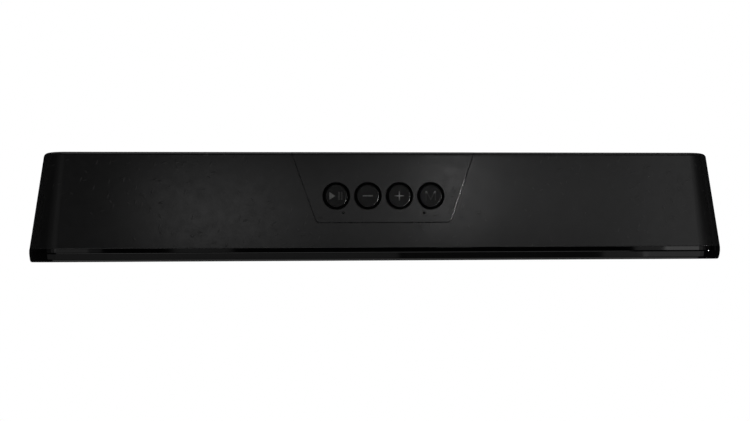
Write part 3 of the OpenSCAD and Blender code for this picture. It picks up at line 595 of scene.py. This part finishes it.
EDGE = worn_edge("polished_edge", (0.02, 0.02, 0.021), 0.32)
BURNISHED_EDGE = worn_edge("burnished_edge", (0.02, 0.02, 0.021), 0.2)
# Near-black, dull plastic for the walls of the key wells and pinholes: painted shade for the dark recesses.
SHADOW = matte_plastic("well_painted_shade", (0.003, 0.003, 0.003), 0.6, dust=0.05, spec=0.08)
KEY_Y = Y_SEAM + BUTTON_ROW
# Legend inks, each darkening away from a point. The plus legend's pale colour, brightest at the key's centre, and the
# mode legend's bright top are painted highlights; the play/pause legend is brighter on the triangle than on the bars.
INK = {
    "play_pause": ink("legend_play_pause", (0.42, 0.42, 0.41), ((BUTTON_X[0] - 3.5, 0, 0), (1, 0, 0), 3.0, 5.2, 0.3)),
    "minus": ink("legend_minus", (0.45, 0.45, 0.44)),
    "plus": ink("legend_plus", (0.8, 0.8, 0.79), ((BUTTON_X[2], KEY_Y, 0), (1, 1, 0), 0.4, 2.4, 0.35)),
    "mode": ink("legend_mode", (0.6, 0.6, 0.59), ((0, KEY_Y + 2.8, 0), (0, 1, 0), 0.6, 1.7, 0.09)),
}


# ---------------------------------------------------------------- tub

def tub_section(y, inset=0.0, n=24, lift=0.0):
    t = (y - Y_SEAM) / BODY_D
    hw = BODY_HW - SIDE_TAPER * t - inset
    r = max(CORNER_FRONT - (CORNER_FRONT - CORNER_REAR) * t - inset, 1)
    top = BAR_H - TOP_DROP * t - inset
    return [(x, y, z + lift) for x, z in rounded_rect(hw, FOOT_H + inset, top, r, n)]


def tub_outer(bm, lift=0.0, front_r=0.35):
    rings = []
    for k in range(5):
        a = math.radians(22.5 * k)
        rings.append(tub_section(Y_SEAM + front_r * (1 - math.sin(a)), front_r * (1 - math.cos(a)), lift=lift))
    rings.reverse()
    for k in range(9):
        a = math.radians(11.25 * k)
        rings.append(tub_section(Y_BACK - REAR_R * (1 - math.sin(a)), REAR_R * (1 - math.cos(a)), lift=lift))
    bm_loft(bm, rings)


def tub_inner(bm):
    bm_loft(bm, [tub_section(Y_SEAM - 1, WALL), tub_section(REAR_INNER, WALL)])


def panel_hw(v, inset):
    return PANEL_FRONT_HW + (v - PANEL_START) * PANEL_FLARE - inset * math.sqrt(1 + PANEL_FLARE**2)


def panel_outline(inset, v_end, corner=PANEL_CORNER):
    v0 = PANEL_START + inset
    half = [(panel_hw(v0, inset) - corner, v0), (panel_hw(v0 + corner, inset), v0 + corner),
            (panel_hw(v_end, inset), v_end)]
    return half + [(-x, v) for x, v in reversed(half)]


def top_frame(p):
    """A row-frame point in the control panel's frame."""
    return ON_TOP.inverted() @ Vector(p)


def build_tub():
    tub = to_object(new_bm(tub_outer), "tub_shell")
    carve(tub, new_bm(tub_inner))
    tray_outside = panel_outline(TRAY_INSET - TRAY_WALL, TRAY_END + TRAY_WALL)
    carve(tub, new_bm(bm_prism, tray_outside, TRAY_N - TRAY_WALL, -1, matrix=ON_TOP), "UNION")
    carve(tub, new_bm(bm_prism, panel_outline(0, PANEL_END + 3), LEDGE_N, 6, matrix=ON_TOP))
    carve(tub, new_bm(bm_prism, panel_outline(TRAY_INSET, TRAY_END), TRAY_N, LEDGE_N + 1, matrix=ON_TOP))
    bosses = bmesh.new()
    boss = [(0, TRAY_N - 0.5), (2.2, TRAY_N - 0.5), (2.2, TRAY_BOSS_TOP), (0.8, TRAY_BOSS_TOP), (0.8, TRAY_N),
            (0, TRAY_N)]
    for x in TRAY_BOSS_X:
        for v in TRAY_BOSS_V:
            bm_lathe(bosses, boss, 32, ON_TOP @ Matrix.Translation((x, v, 0)))
    bmesh.ops.recalc_face_normals(bosses, faces=bosses.faces)
    carve(tub, bosses, "UNION")
    back = Matrix.Rotation(math.pi / 2, 4, "X")
    rear = bmesh.new()
    boss = [(0, 0), (3, 0), (3, BOARD_BOSS_LENGTH), (0.9, BOARD_BOSS_LENGTH), (0.9, 3), (0, 3)]
    for x in BOARD_BOSS_X:
        for z in BOARD_BOSS_Z:
            bm_lathe(rear, boss, 32, Matrix.Translation((x, REAR_INNER + 0.5, z)) @ back)
    bmesh.ops.recalc_face_normals(rear, faces=rear.faces)
    carve(tub, rear, "UNION")
    screws, webs = bmesh.new(), bmesh.new()
    points = [(x, z) for x in SCREW_X for z in (FOOT_H + SCREW_EDGE, BAR_H - SCREW_EDGE)]
    points += [(s * (BAR_HW - SCREW_END), Z_AXIS) for s in (-1, 1)]
    post = [(0, 13), (1.3, 13), (1.3, 0.3), (1.6, 0), (POST_R, 0), (POST_R, POST_LENGTH), (0, POST_LENGTH)]
    for x, z in points:
        place = Matrix.Translation((x, Y_SEAM, z)) @ Matrix.Rotation(-math.pi / 2, 4, "X")
        bm_lathe(screws, post, 32, place)
        if abs(x) > DRIVER_X:
            reach = BODY_HW - abs(x) - SIDE_TAPER * POST_LENGTH / BODY_D - WALL / 2
            x0, x1 = sorted((x + math.copysign(2, x), x + math.copysign(reach, x)))
            z0, z1 = z - WEB_T / 2, z + WEB_T / 2
        else:
            z0, z1 = sorted((z + math.copysign(2, z - Z_AXIS), z + math.copysign(WEB_REACH, z - Z_AXIS)))
            x0, x1 = x - WEB_T / 2, x + WEB_T / 2
        web = [(x0, z0), (x1, z0), (x1, z1), (x0, z1)]
        bm_prism(webs, web, Y_SEAM + 0.02, Y_SEAM + POST_LENGTH + 0.03, "y")
    for part in (screws, webs):
        bmesh.ops.recalc_face_normals(part, faces=part.faces)
    carve(tub, webs, "UNION")
    carve(tub, screws, "UNION")
    cuts = bmesh.new()
    for fx, fy in FOOT_POINTS:
        bm_prism(cuts, circle(FOOT_WELL_R, 64, fx, fy), FOOT_H - 1, FOOT_H + 0.6)
    mid = (BAY_X[0] + BAY_X[1]) / 2
    bay = [(x + mid, z) for x, z in rounded_rect((BAY_X[1] - BAY_X[0]) / 2, BAY_Z[0], BAY_Z[1], 3, 12)]
    bm_prism(cuts, bay, Y_BACK - BAY_DEPTH, Y_BACK + 1, "y")
    bmesh.ops.recalc_face_normals(cuts, faces=cuts.faces)
    ports = bmesh.new()

    def port(outline, x):
        bm_prism(ports, [(x + px, PORT_Z + pz) for px, pz in outline], REAR_INNER - 1, Y_BACK + 1, "y")

    port(rounded_rect(5.1, -2.3, 2.3, 0.4, 4), SWITCH_X)
    port(stadium(9.6, 3.9), USB_C_X)
    port(circle(3.7, 48), AUX_X)
    port(rounded_rect(7.15, -3.45, 3.45, 0.5, 4), USB_A_X)
    bmesh.ops.recalc_face_normals(ports, faces=ports.faces)
    carve(tub, ports)  # before the bay: the other way round, the exact boolean folds the AUX hole shut
    carve(tub, cuts)
    wire_slot = [(-5, 43), (5, 43), (5, 47), (-5, 47)]
    carve(tub, new_bm(bm_prism, wire_slot, TRAY_N - 3, TRAY_N + 3, matrix=ON_TOP))

    def outside(e):
        for v in e.verts:
            q = top_frame(v.co)
            on_top = q.z > -0.05
            on_back = v.co.y > Y_BACK - BAY_DEPTH + 0.05
            under = v.co.z < FOOT_H + 0.02
            if not (on_top or on_back or under):
                return False
        return True

    soften(tub, outside, 0.22, 3, edge_material=1)
    return finish_piece(tub, "enclosure", [SLOT["housing_black"], EDGE], ["rear_housing"])


# ---------------------------------------------------------------- control panel

def build_panel():
    panel = to_object(
        new_bm(bm_prism, panel_outline(PANEL_GAP, PANEL_END + 3), LEDGE_N, PANEL_PROUD, matrix=ON_TOP), "key_panel")
    carve(panel, new_bm(tub_outer, lift=PANEL_PROUD), "INTERSECT")
    collars, tubes = bmesh.new(), bmesh.new()
    for x in BUTTON_X:
        bm_prism(collars, circle(BUTTON_PITCH / 2 - 0.2, 96, x, BUTTON_ROW), COLLAR_N, LEDGE_N + 0.5)
    for side in (-1, 1):
        bm_prism(tubes, circle(2.2, 48, side * PINHOLE_X, PINHOLE_V), -5, LEDGE_N + 0.4)
    for part in (collars, tubes):
        bmesh.ops.recalc_face_normals(part, faces=part.faces)
        part.transform(ON_TOP)
        carve(panel, part, "UNION")
    wells, holes = bmesh.new(), bmesh.new()
    for x in BUTTON_X:
        bm_prism(wells, circle(WELL_R, 128, x, BUTTON_ROW), WELL_FLOOR, 4)
        bm_prism(holes, circle(BUTTON_R + 0.3, 128, x, BUTTON_ROW), COLLAR_N - 1, 1)
    for side in (-1, 1):
        bm_prism(wells, circle(PINHOLE_R, 32, side * PINHOLE_X, PINHOLE_V), -6, 4)
    bm_prism(holes, circle(1.45, 32, -PINHOLE_X, PINHOLE_V), -6, -2.2)
    for cutter in (wells, holes):
        bmesh.ops.recalc_face_normals(cutter, faces=cutter.faces)
        cutter.transform(ON_TOP)
        carve(panel, cutter)

    def rim(e):
        return min(top_frame(v.co).z for v in e.verts) > PANEL_PROUD - 0.02

    def at_well(e):
        ends = [top_frame(v.co) for v in e.verts]
        reach = min(max(math.hypot(q.x - x, q.y - BUTTON_ROW) for q in ends) for x in BUTTON_X)
        return rim(e) and reach < WELL_R + 0.05

    def at_seam(e):
        ends = [top_frame(v.co) for v in e.verts]
        far = min(math.hypot(abs(q.x) - PINHOLE_X, q.y - PINHOLE_V) for q in ends) > 2 * PINHOLE_R
        return rim(e) and far and not at_well(e)

    soften(panel, at_seam, 0.28, 3, edge_material=1, clamp=False)
    soften(panel, at_well, 0.12, 2, edge_material=1)
    # Walls of the key wells and pinholes below the rim take the painted-shade material (slot 2).
    for p in panel.data.polygons:
        q = top_frame(p.center)
        in_well = any(math.hypot(q.x - x, q.y - BUTTON_ROW) < WELL_R + 0.02 for x in BUTTON_X)
        in_well |= math.hypot(abs(q.x) - PINHOLE_X, q.y - PINHOLE_V) < PINHOLE_R + 0.02
        if in_well and q.z < PANEL_PROUD - 0.15:
            p.material_index = 2
        elif p.material_index == 1 and q.x > panel_hw(q.y, PANEL_GAP) - 1.6:
            p.material_index = 3
    return finish_piece(panel, "enclosure", [SLOT["panel_black"], EDGE, SHADOW, BURNISHED_EDGE],
                        ["control_panel"])


# ---------------------------------------------------------------- push keys

def play_pause_icon():
    bars = [[(x, -2.3), (x + 0.75, -2.3), (x + 0.75, 2.3), (x, 2.3)] for x in (1.6, 3.1)]
    return [[(x - 0.35, y) for x, y in loop] for loop in [[(-3.5, -2.2), (-0.1, 0), (-3.5, 2.2)], *bars]]


def minus_icon():
    return [[(-2.9, -0.35), (2.9, -0.35), (2.9, 0.35), (-2.9, 0.35)]]


def plus_icon():
    a, b = 0.3, 2.7
    return [[(-b, -a), (-a, -a), (-a, -b), (a, -b), (a, -a), (b, -a),
             (b, a), (a, a), (a, b), (-a, b), (-a, a), (-b, a)]]


def mode_icon():
    left = [(-2.35, -2.6), (-2.9, -2.6), (-2.9, 2.7), (-2.2, 2.7), (0, -1.5)]
    right = [(-x, y) for x, y in reversed(left[:-1])]
    return [left + right + [(2.35, 1.6), (0, -2.7), (-2.35, 1.6)]]


def inside(p, loop):
    x, y = p
    hit = False
    for (x0, y0), (x1, y1) in zip(loop, loop[1:] + loop[:1]):
        if (y0 > y) != (y1 > y) and x < (x1 - x0) * (y - y0) / (y1 - y0) + x0:
            hit = not hit
    return hit


def key_top(bm, ring, radius, icon, dish):
    """The cap's face with its sunk legend. ring is the circle of lathe vertices it joins."""
    loops = [circle(radius, len(ring))] + [circle(radius * k / 5, 48) for k in (2, 3, 4)] + icon
    points, edges = [], []
    for loop in loops:
        base = len(points)
        points += [Vector(p) for p in loop]
        edges += [(base + k, base + (k + 1) % len(loop)) for k in range(len(loop))]
    verts, _, faces, *_ = geometry.delaunay_2d_cdt(points, edges, [], 1, 1e-5)

    def height(p):
        return CAP_N - dish * (1 - (p.length / radius) ** 2)

    high = [bm.verts.new((v.x, v.y, height(v))) for v in verts]
    low, sides = {}, {}
    for f in faces:
        c = sum((verts[i] for i in f), Vector((0, 0))) / len(f)
        sunk = any(inside(c, loop) for loop in icon)
        if sunk:
            for i in f:
                low.setdefault(i, bm.verts.new((verts[i].x, verts[i].y, height(verts[i]) - ICON_DEPTH)))
        face = bm.faces.new([low[i] if sunk else high[i] for i in f])
        face.material_index = 1 if sunk else 0
        for a, b in zip(f, f[1:] + f[:1]):
            sides.setdefault(tuple(sorted((a, b))), []).append(sunk)
    for (a, b), kinds in sides.items():
        if sorted(kinds) == [False, True]:
            bm.faces.new((high[a], high[b], low[b], low[a]))
    for v in [v for v in high if not v.link_faces]:
        bm.verts.remove(v)


def build_key(name, i, body, node, icon, ink_material):
    bm = bmesh.new()
    edge, steps, n = 0.6, 8, 128
    stem_r, stem_n, flange_r, flange_n = 2.2, -5.4, 7.3, -3.6
    flat = BUTTON_R - edge
    rim = [(BUTTON_R - edge * (1 - math.cos(math.radians(90 * k / steps))),
            CAP_N - edge * (1 - math.sin(math.radians(90 * k / steps)))) for k in range(steps + 1)]
    profile = [(0, stem_n), (stem_r - 0.2, stem_n), (stem_r, stem_n + 0.2), (stem_r, flange_n - 1),
               (flange_r, flange_n - 1), (flange_r, flange_n), (BUTTON_R, flange_n)] + rim
    rings = bm_lathe(bm, profile, n)
    key_top(bm, rings[-1], flat, icon, 0.12)
    bmesh.ops.remove_doubles(bm, verts=bm.verts, dist=1e-4)
    bmesh.ops.recalc_face_normals(bm, faces=bm.faces)
    bm.transform(ON_TOP @ Matrix.Translation((BUTTON_X[i], BUTTON_ROW, 0)))
    return finish_piece(to_object(bm, name), body, [SLOT["button_black"], ink_material], [node],
                        angle=40)


# ---------------------------------------------------------------- bezel, grille, feet

def bezel_outline(xi, zi, n=32):
    r = max(CORNER_FRONT - min(xi, zi), 2)
    return rounded_rect(BAR_HW - xi, FOOT_H + BEZEL_DROP + zi, BAR_H - BEZEL_DROP - zi, r, n)


def rounded_path(points, cut, steps=6):
    """Rounds the corners of a closed path of vectors; cut is the distance taken off each side."""
    out = []
    for i, b in enumerate(points):
        a, c = points[i - 1], points[(i + 1) % len(points)]
        reach = min(cut[i], (a - b).length * 0.45, (c - b).length * 0.45)
        p, q = b + (a - b).normalized() * reach, b + (c - b).normalized() * reach
        out += [(1 - t) ** 2 * p + 2 * t * (1 - t) * b + t * t * q for t in (k / steps for k in range(steps + 1))]
    return out


def build_bezel():
    corner = [  # (y, inset at the ends, inset above and below), and how far its corner is rounded
        ((Y_SEAM, 0, 0), 0.15), ((Y_SEAM - 2.7, 0, 0), 0.5), ((Y_SEAM - 6.1, 0, 1.7), 0.8),
        ((Y_FRONT + 0.35, 0.25, 2.4), 0.35), ((Y_FRONT, 0.8, 3.1), 0.35), ((Y_FRONT, 7.5, 7.5), 0.35),
        ((Y_FRONT + 1.2, 7.5, 7.5), 0.05),
        ((Y_FRONT + 1.2, 5.3, 5.3), 0.05), ((Y_BAFFLE_FRONT, 5.3, 5.3), 0.05), ((Y_BAFFLE_FRONT, 1.05, 1.05), 0.05),
        ((Y_SEAM, 1.05, 1.05), 0.05),
    ]
    path = rounded_path([Vector(p) for p, _ in corner], [c for _, c in corner])
    rings = [[(x, p.x, z) for x, z in bezel_outline(p.y, p.z)] for p in path]
    bm = new_bm(bm_loft, rings, closed=True)
    return finish_piece(to_object(bm, "gloss_bezel"), "enclosure", [SLOT["bezel_gloss"]],
                        ["front_bezel"], angle=40)


def build_grille():
    """Perforated sheet: real round holes in staggered rows."""
    pitch, hole_r, margin = GRILLE_PITCH, GRILLE_HOLE_R, GRILLE_MARGIN
    outline = bezel_outline(GRILLE_INSET, GRILLE_INSET, 20)
    y0, y1 = GRILLE_LO[1], GRILLE_HI[1]
    hw, top, bottom = GRILLE_HI[0], GRILLE_HI[2], GRILLE_LO[2]
    r = CORNER_FRONT - GRILLE_INSET
    row_h = pitch * math.sqrt(3) / 2
    rows = int((top - bottom - 2 * margin) / 2 / row_h)
    centres = []
    for j in range(-rows, rows + 1):
        for i in range(-70, 71):
            x, z = (i + 0.5 * (j % 2)) * pitch, Z_AXIS + j * row_h
            cx, cz = max(abs(x) - (hw - r), 0), max(abs(z - Z_AXIS) - ((top - bottom) / 2 - r), 0)
            if abs(x) <= hw - margin and math.hypot(cx, cz) <= r - margin:
                centres.append((x, z))
    points, edges = [], []
    for loop in [outline] + [circle(hole_r, 12, cx, cz) for cx, cz in centres]:
        base = len(points)
        points += [Vector(p) for p in loop]
        edges += [(base + k, base + (k + 1) % len(loop)) for k in range(len(loop))]
    verts, _, faces, *_ = geometry.delaunay_2d_cdt(points, edges, [], 1, 1e-5)
    taken = {(round(x / pitch * 2), round((z - Z_AXIS) / row_h)): (x, z) for x, z in centres}

    def in_hole(c):
        j = round((c.y - Z_AXIS) / row_h)
        for dj in (-1, 0, 1):
            for di in (-2, -1, 0, 1, 2):
                q = taken.get((round(c.x / pitch * 2) + di, j + dj))
                if q and math.hypot(c.x - q[0], c.y - q[1]) < hole_r * 0.97:
                    return True
        return False

    bm = bmesh.new()
    front = [bm.verts.new((v.x, y0, v.y)) for v in verts]
    back = [bm.verts.new((v.x, y1, v.y)) for v in verts]
    count = {}
    for f in faces:
        if in_hole(sum((verts[i] for i in f), Vector((0, 0))) / len(f)):
            continue
        bm.faces.new([front[i] for i in f])
        bm.faces.new([back[i] for i in reversed(f)])
        for pair in zip(f, f[1:] + f[:1]):
            key = tuple(sorted(pair))
            count[key] = count.get(key, 0) + 1
    for (a, b), n in count.items():
        if n == 1:
            bm.faces.new((front[a], front[b], back[b], back[a]))
    for v in [v for v in bm.verts if not v.link_faces]:
        bm.verts.remove(v)
    return finish_piece(to_object(bm, "perforated_grille"), "enclosure", [SLOT["grille_black"]],
                        ["front_grille"], angle=40, weighted=False)


def build_feet():
    bm = bmesh.new()
    top, flat = FEET_HI[2], FOOT_R - FOOT_EDGE
    profile = [(0, 0.25), (4.2, 0.25), (4.6, 0), (flat, 0)]
    profile += arc(flat, FOOT_EDGE, FOOT_EDGE, (-70, -50, -30, -10))
    profile += [(FOOT_R, 0.9), (FOOT_R, top), (0, top)]
    for x, y in FOOT_POINTS:
        bm_lathe(bm, profile, 64, Matrix.Translation((x, y, 0)))
    return finish_piece(to_object(bm, "soft_feet"), "enclosure", [SLOT["foot_rubber"]],
                        ["rubber_feet"], angle=40)


# ---------------------------------------------------------------- suspensions between the enclosure and the moving parts

def set_blend(ob, weight):
    """Bakes ob's transform and works out weight(vertex in mm) for each vertex, 0 on the enclosure and 1 on the moving
    body; the weights are not applied.
    """
    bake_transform(ob)
    values = [weight(v.co / MM) for v in ob.data.vertices]


def ease(t):
    t = min(max(t, 0), 1)
    return t * t * (3 - 2 * t)


def surround_profile(mid, roll, skin, base, inner, outer, flat):
    crown = arc(mid, base + 0.1, roll, range(168, 0, -6))
    under = arc(mid, base, roll - skin, range(0, 181, 6))
    return [(inner, base + 0.05), (inner, base + flat)] + crown + [(outer, base + flat), (outer, base)] + under


def build_suspension(side):
    x = DRIVER_X if side == "right" else -DRIVER_X
    place, body = in_front(x), side + "_moving_parts"
    bm = new_bm(bm_lathe, surround_profile(18.5, 1.9, 0.4, -0.8, 15.5, 21.6, 0.5), 96, place, closed=True)
    ob = finish_piece(to_object(bm, side + "_roll"), None, [SLOT["surround_rubber"]],
                      [side + "_driver_surround"], angle=50, weighted=False)

    def radius(co):
        return math.hypot(co.x - x, co.z - Z_AXIS)

    set_blend(ob, lambda co: ease((20.6 - radius(co)) / (20.6 - 16.45)))
    inner, rolls_end, outer, base, steps = 6.95, 12.2, 14.3, -11.38, 60

    def wave(k):
        return base + 0.45 * abs(math.sin(math.radians(900 * k / steps)))

    top = [(inner + (rolls_end - inner) * k / steps, wave(k) + 0.4) for k in range(steps + 1)]
    under = [(inner + (rolls_end - inner) * k / steps, wave(k)) for k in range(steps, -1, -1)]
    bm = new_bm(bm_lathe, top + [(outer, base + 0.4), (outer, base)] + under, 96, place, closed=True)
    ob = finish_piece(to_object(bm, side + "_centring_disc"), None, [SLOT["spider_cloth"]],
                      [side + "_driver_spider"], angle=60, weighted=False)
    set_blend(ob, lambda co: ease((12.3 - radius(co)) / (12.3 - 7.1)))


def stadium_distance(x, z):
    """Distance out from the radiator's middle line."""
    return math.hypot(max(abs(x) - RADIATOR_HALF, 0), z - Z_AXIS)


def build_radiator_roll():
    edge, roll, skin, base, flat, n = 16.0, 2.0, 0.5, -0.6, 0.4, 48
    mid = edge - roll
    low = mid - roll - 1.6
    profile = [(low, base), (low, base + flat)] + arc(mid, base + flat, roll, range(180, -1, -6))
    profile += [(edge + 3, base + flat), (edge + 3, base), (mid + roll - skin, base)]
    profile += arc(mid, base + flat, roll - skin, range(0, 181, 6)) + [(mid - roll + skin, base)]
    place = in_front(0)
    sweeps = [(RADIATOR_HALF, [-90 + 180 * k / n for k in range(n + 1)]),
              (-RADIATOR_HALF, [90 + 180 * k / n for k in range(n + 1)])]
    rings = [
        [place @ Vector((x, y, h)) for cx, degrees in sweeps for x, y in arc(cx, 0, q, degrees)]
        for q, h in profile
    ]
    ob = finish_piece(to_object(new_bm(bm_loft, rings, closed=True), "radiator_roll"), None,
                      [SLOT["surround_rubber"]], ["radiator_surround"], angle=50, weighted=False)
    set_blend(ob, lambda co: ease((16.3 - stadium_distance(co.x, co.z)) / (16.3 - 11.8)))


# ---------------------------------------------------------------- carried-over CAD nodes

def dress_cad_nodes():
    """Better materials and finely rounded edges on the CAD nodes that stay."""
    slot_of = {s["node"]: s["material_slot"] for s in RECORD["subparts"]}
    unbevelled = {"speaker_leads", "board_leads"}
    for side in ("left", "right"):
        unbevelled |= {f"{side}_driver_{part}" for part in ("cone", "dust_cap", "voice_coil")}
    for name, ob in NODES.items():
        ob.data.materials.clear()
        ob.data.materials.append(SLOT[slot_of[name]])
        for p in ob.data.polygons:
            p.material_index = 0
            p.use_smooth = True
        weld = ob.modifiers.new("weld", "WELD")
        weld.merge_threshold = 2e-6
        if name not in unbevelled:
            bevel = ob.modifiers.new("edges", "BEVEL")
            bevel.width, bevel.segments, bevel.limit_method = 8e-5, 2, "ANGLE"
            bevel.angle_limit = math.radians(40)
        normals = ob.modifiers.new("normals", "WEIGHTED_NORMAL")
        normals.keep_sharp = True


# ---------------------------------------------------------------- stage

# name, centre, size (across, along), aimed at, watts, beam in degrees. Powers were fitted to the photo by least
# squares. A beam narrower than WIDE shows in reflections only.
WIDE = 180
LIGHTS = [
    ("glow", (-165, 125, 900), (200, 110), (-75, 0, 58), 0.0698, WIDE),
    ("middle", (40, 135, 900), (140, 120), (0, 0, 58), 0.0274, WIDE),
    ("strip", (165, 160, 900), (50, 110), (46, 10, 58), 0.0757, WIDE),
    ("middle_right", (300, 150, 900), (130, 160), (100, 0, 58), 0.0362, WIDE),
    ("right_bank", (500, 170, 900), (190, 320), (165, 0, 58), 0.1203, WIDE),
    ("right_far_high", (760, 150, 934), (275, 400), (180, 0, 58), 0.12, WIDE),
    ("right_far_middle", (941, 150, 781), (200, 400), (180, 0, 58), 0.03, WIDE),
    ("right_far_low", (1107, 150, 551), (366, 400), (180, 0, 58), 0.014, WIDE),
    ("left_far", (-570, 120, 900), (280, 300), (-180, 0, 58), 0.042, WIDE),
    ("left_far_middle", (-887, 150, 900), (365, 400), (-180, 0, 58), 0.026, WIDE),
    ("right_ledge", (520, -30, 900), (110, 60), (175, -25, 58), 0.023, WIDE),
    ("right_ledge_fade", (442, -30, 900), (46, 60), (150, -25, 58), 0.0026, WIDE),
    ("left_bank", (-435, -25, 900), (180, 60), (-180, -25, 58), 0.0105, WIDE),
    ("left_bank_fade", (-335, -25, 900), (20, 60), (-155, -25, 58), 0.0005, WIDE),
    ("ledge_middle", (-188, -24, 900), (80, 40), (-98, -25, 58), 0.0019, WIDE),
    ("front_bank", (-240, -968, 760), (720, 300), (-98, -28, 55), 0.1178, WIDE),
    ("front_far_left", (-850, -968, 700), (460, 300), (-185, -28, 55), 0.065, WIDE),
    ("front_middle", (297, -968, 760), (350, 300), (80, -28, 55), 0.015, WIDE),
    ("front_right", (510, -968, 760), (75, 300), (135, -28, 55), 0.0177, WIDE),
    ("front_right_end", (676, -968, 760), (257, 300), (170, -28, 55), 0.125, WIDE),
    ("front_far_right", (950, -968, 700), (280, 300), (185, -28, 55), 0.09, WIDE),
    ("front_wash", (0, -480, 900), (900, 220), (0, 0, 58), 0.5, WIDE),
    ("rear_high", (0, 1500, 680), (2000, 420), (0, 30, 30), 1.2, WIDE),
    ("front_high", (0, -1700, 640), (2000, 300), (0, -30, 30), 0.9, WIDE),
    ("rear_low", (0, 1400, 150), (1500, 240), (0, 30, 30), 1.6, WIDE),
    ("front_low", (0, -1400, 170), (1500, 240), (0, -30, 30), 2.0, WIDE),
    ("seam_glint", (400, -80, 200), (60, 230), (45, 4, 57), 0.09, 16),
]
# name, extent (x0, x1, y0, y1), strength, seen by diffuse rays, seen in reflections: cards that lie on the floor
BOUNCE = [
    ("soft_fill", (-3000, 3000, -3000, 3000), 0.42, True, False),
    ("rear_card", (-330, 330, 150, 1500), 0.6, False, True),
    ("front_card", (-330, 330, -1500, -130), 0.5, False, True),
    ("left_card", (-1500, -480, -130, 150), 0.01, False, True),
    ("right_card", (480, 1500, -130, 150), 0.04, False, True),
]
FLOOR_GLOW = 1.0
SKY = 0.006
FLOOR_HALF, FLOOR_Z, DOME_R = 8.0, -0.00005, 9.0


def stage_object(name, verts, faces, material, camera, bounce, gloss):
    """A piece of the studio. The flags say who sees it: the camera, diffuse rays, glossy rays."""
    me = bpy.data.meshes.new(name)
    me.from_pydata(verts, [], faces)
    me.materials.append(material)
    ob = bpy.data.objects.new(name, me)
    bpy.context.scene.collection.objects.link(ob)
    ob.visible_camera, ob.visible_diffuse, ob.visible_glossy = camera, bounce, gloss
    ob.visible_transmission = ob.visible_shadow = False


def glowing(name, strength):
    g = Graph(name)
    g.set(colour=(0.0, 0.0, 0.0), rough=0.9, spec=0.0)
    g.shader.inputs["Emission Color"].default_value = (1, 1, 1, 1)
    g.shader.inputs["Emission Strength"].default_value = strength
    return g.mat


def rectangle(x0, x1, y0, y1, z):
    return [(x0, y0, z), (x1, y0, z), (x1, y1, z), (x0, y1, z)], [(0, 1, 2, 3)]


def build_stage():
    white = glowing("studio_white", FLOOR_GLOW)
    floor = rectangle(-FLOOR_HALF, FLOOR_HALF, -FLOOR_HALF, FLOOR_HALF, FLOOR_Z)
    stage_object("studio_floor", *floor, white, True, False, False)
    dome = bmesh.new()
    bmesh.ops.create_icosphere(dome, subdivisions=4, radius=DOME_R)
    faces = [[v.index for v in f.verts] for f in dome.faces]
    verts = [tuple(v.co) for v in dome.verts]
    dome.free()
    stage_object("studio_backdrop", verts, faces, white, True, False, False)
    for name, extent, strength, diffuse, gloss in BOUNCE:
        stage_object(name, *rectangle(*(v * MM for v in extent), 0.0), glowing(name, strength), False, diffuse, gloss)

    world = bpy.data.worlds.new("studio")
    bpy.context.scene.world = world
    world.use_nodes = True
    world.node_tree.nodes["Background"].inputs["Color"].default_value = (1, 1, 1, 1)
    world.node_tree.nodes["Background"].inputs["Strength"].default_value = SKY

    for name, place, size, aim, power, spread in LIGHTS:
        light = bpy.data.lights.new(name, "AREA")
        light.shape, light.size, light.size_y, light.energy = "RECTANGLE", size[0] * MM, size[1] * MM, power
        ob = bpy.data.objects.new(name, light)
        centre = Vector(place) * MM
        back = (centre - Vector(aim) * MM).normalized()
        across = (Vector((1, 0, 0)) - back * back.x).normalized()
        up = back.cross(across)
        turn = Matrix((across, up, back)).transposed().to_4x4()
        ob.matrix_world = Matrix.Translation(centre) @ turn
        light.spread = math.radians(spread)
        ob.visible_camera, ob.visible_diffuse = False, spread == WIDE
        bpy.context.scene.collection.objects.link(ob)


def build_camera():
    """Nearly straight above, as in the photo."""
    data = bpy.data.cameras.new("camera")
    data.sensor_width, data.lens = 36, 48.87
    data.clip_start, data.clip_end = 0.01, 20
    cam = bpy.data.objects.new("camera", data)
    cam.location = (-0.042475, -0.027369, 0.62833)
    cam.rotation_euler = (0.0436, -0.0654, -0.0050)
    bpy.context.scene.collection.objects.link(cam)
    bpy.context.scene.camera = cam


build_camera()
build_stage()
bpy.context.scene.view_settings.view_transform = "Standard"

dress_cad_nodes()
build_tub()
build_panel()
ICONS = (("play_pause", play_pause_icon, "play_pause"), ("volume_down", minus_icon, "minus"),
         ("volume_up", plus_icon, "plus"), ("mode", mode_icon, "mode"))
for place, (key, icon, legend) in enumerate(ICONS):
    build_key("key_" + key, place, key + "_key", key + "_button", icon(), INK[legend])
build_bezel()
build_grille()
build_feet()
build_suspension("left")
build_suspension("right")
build_radiator_roll()
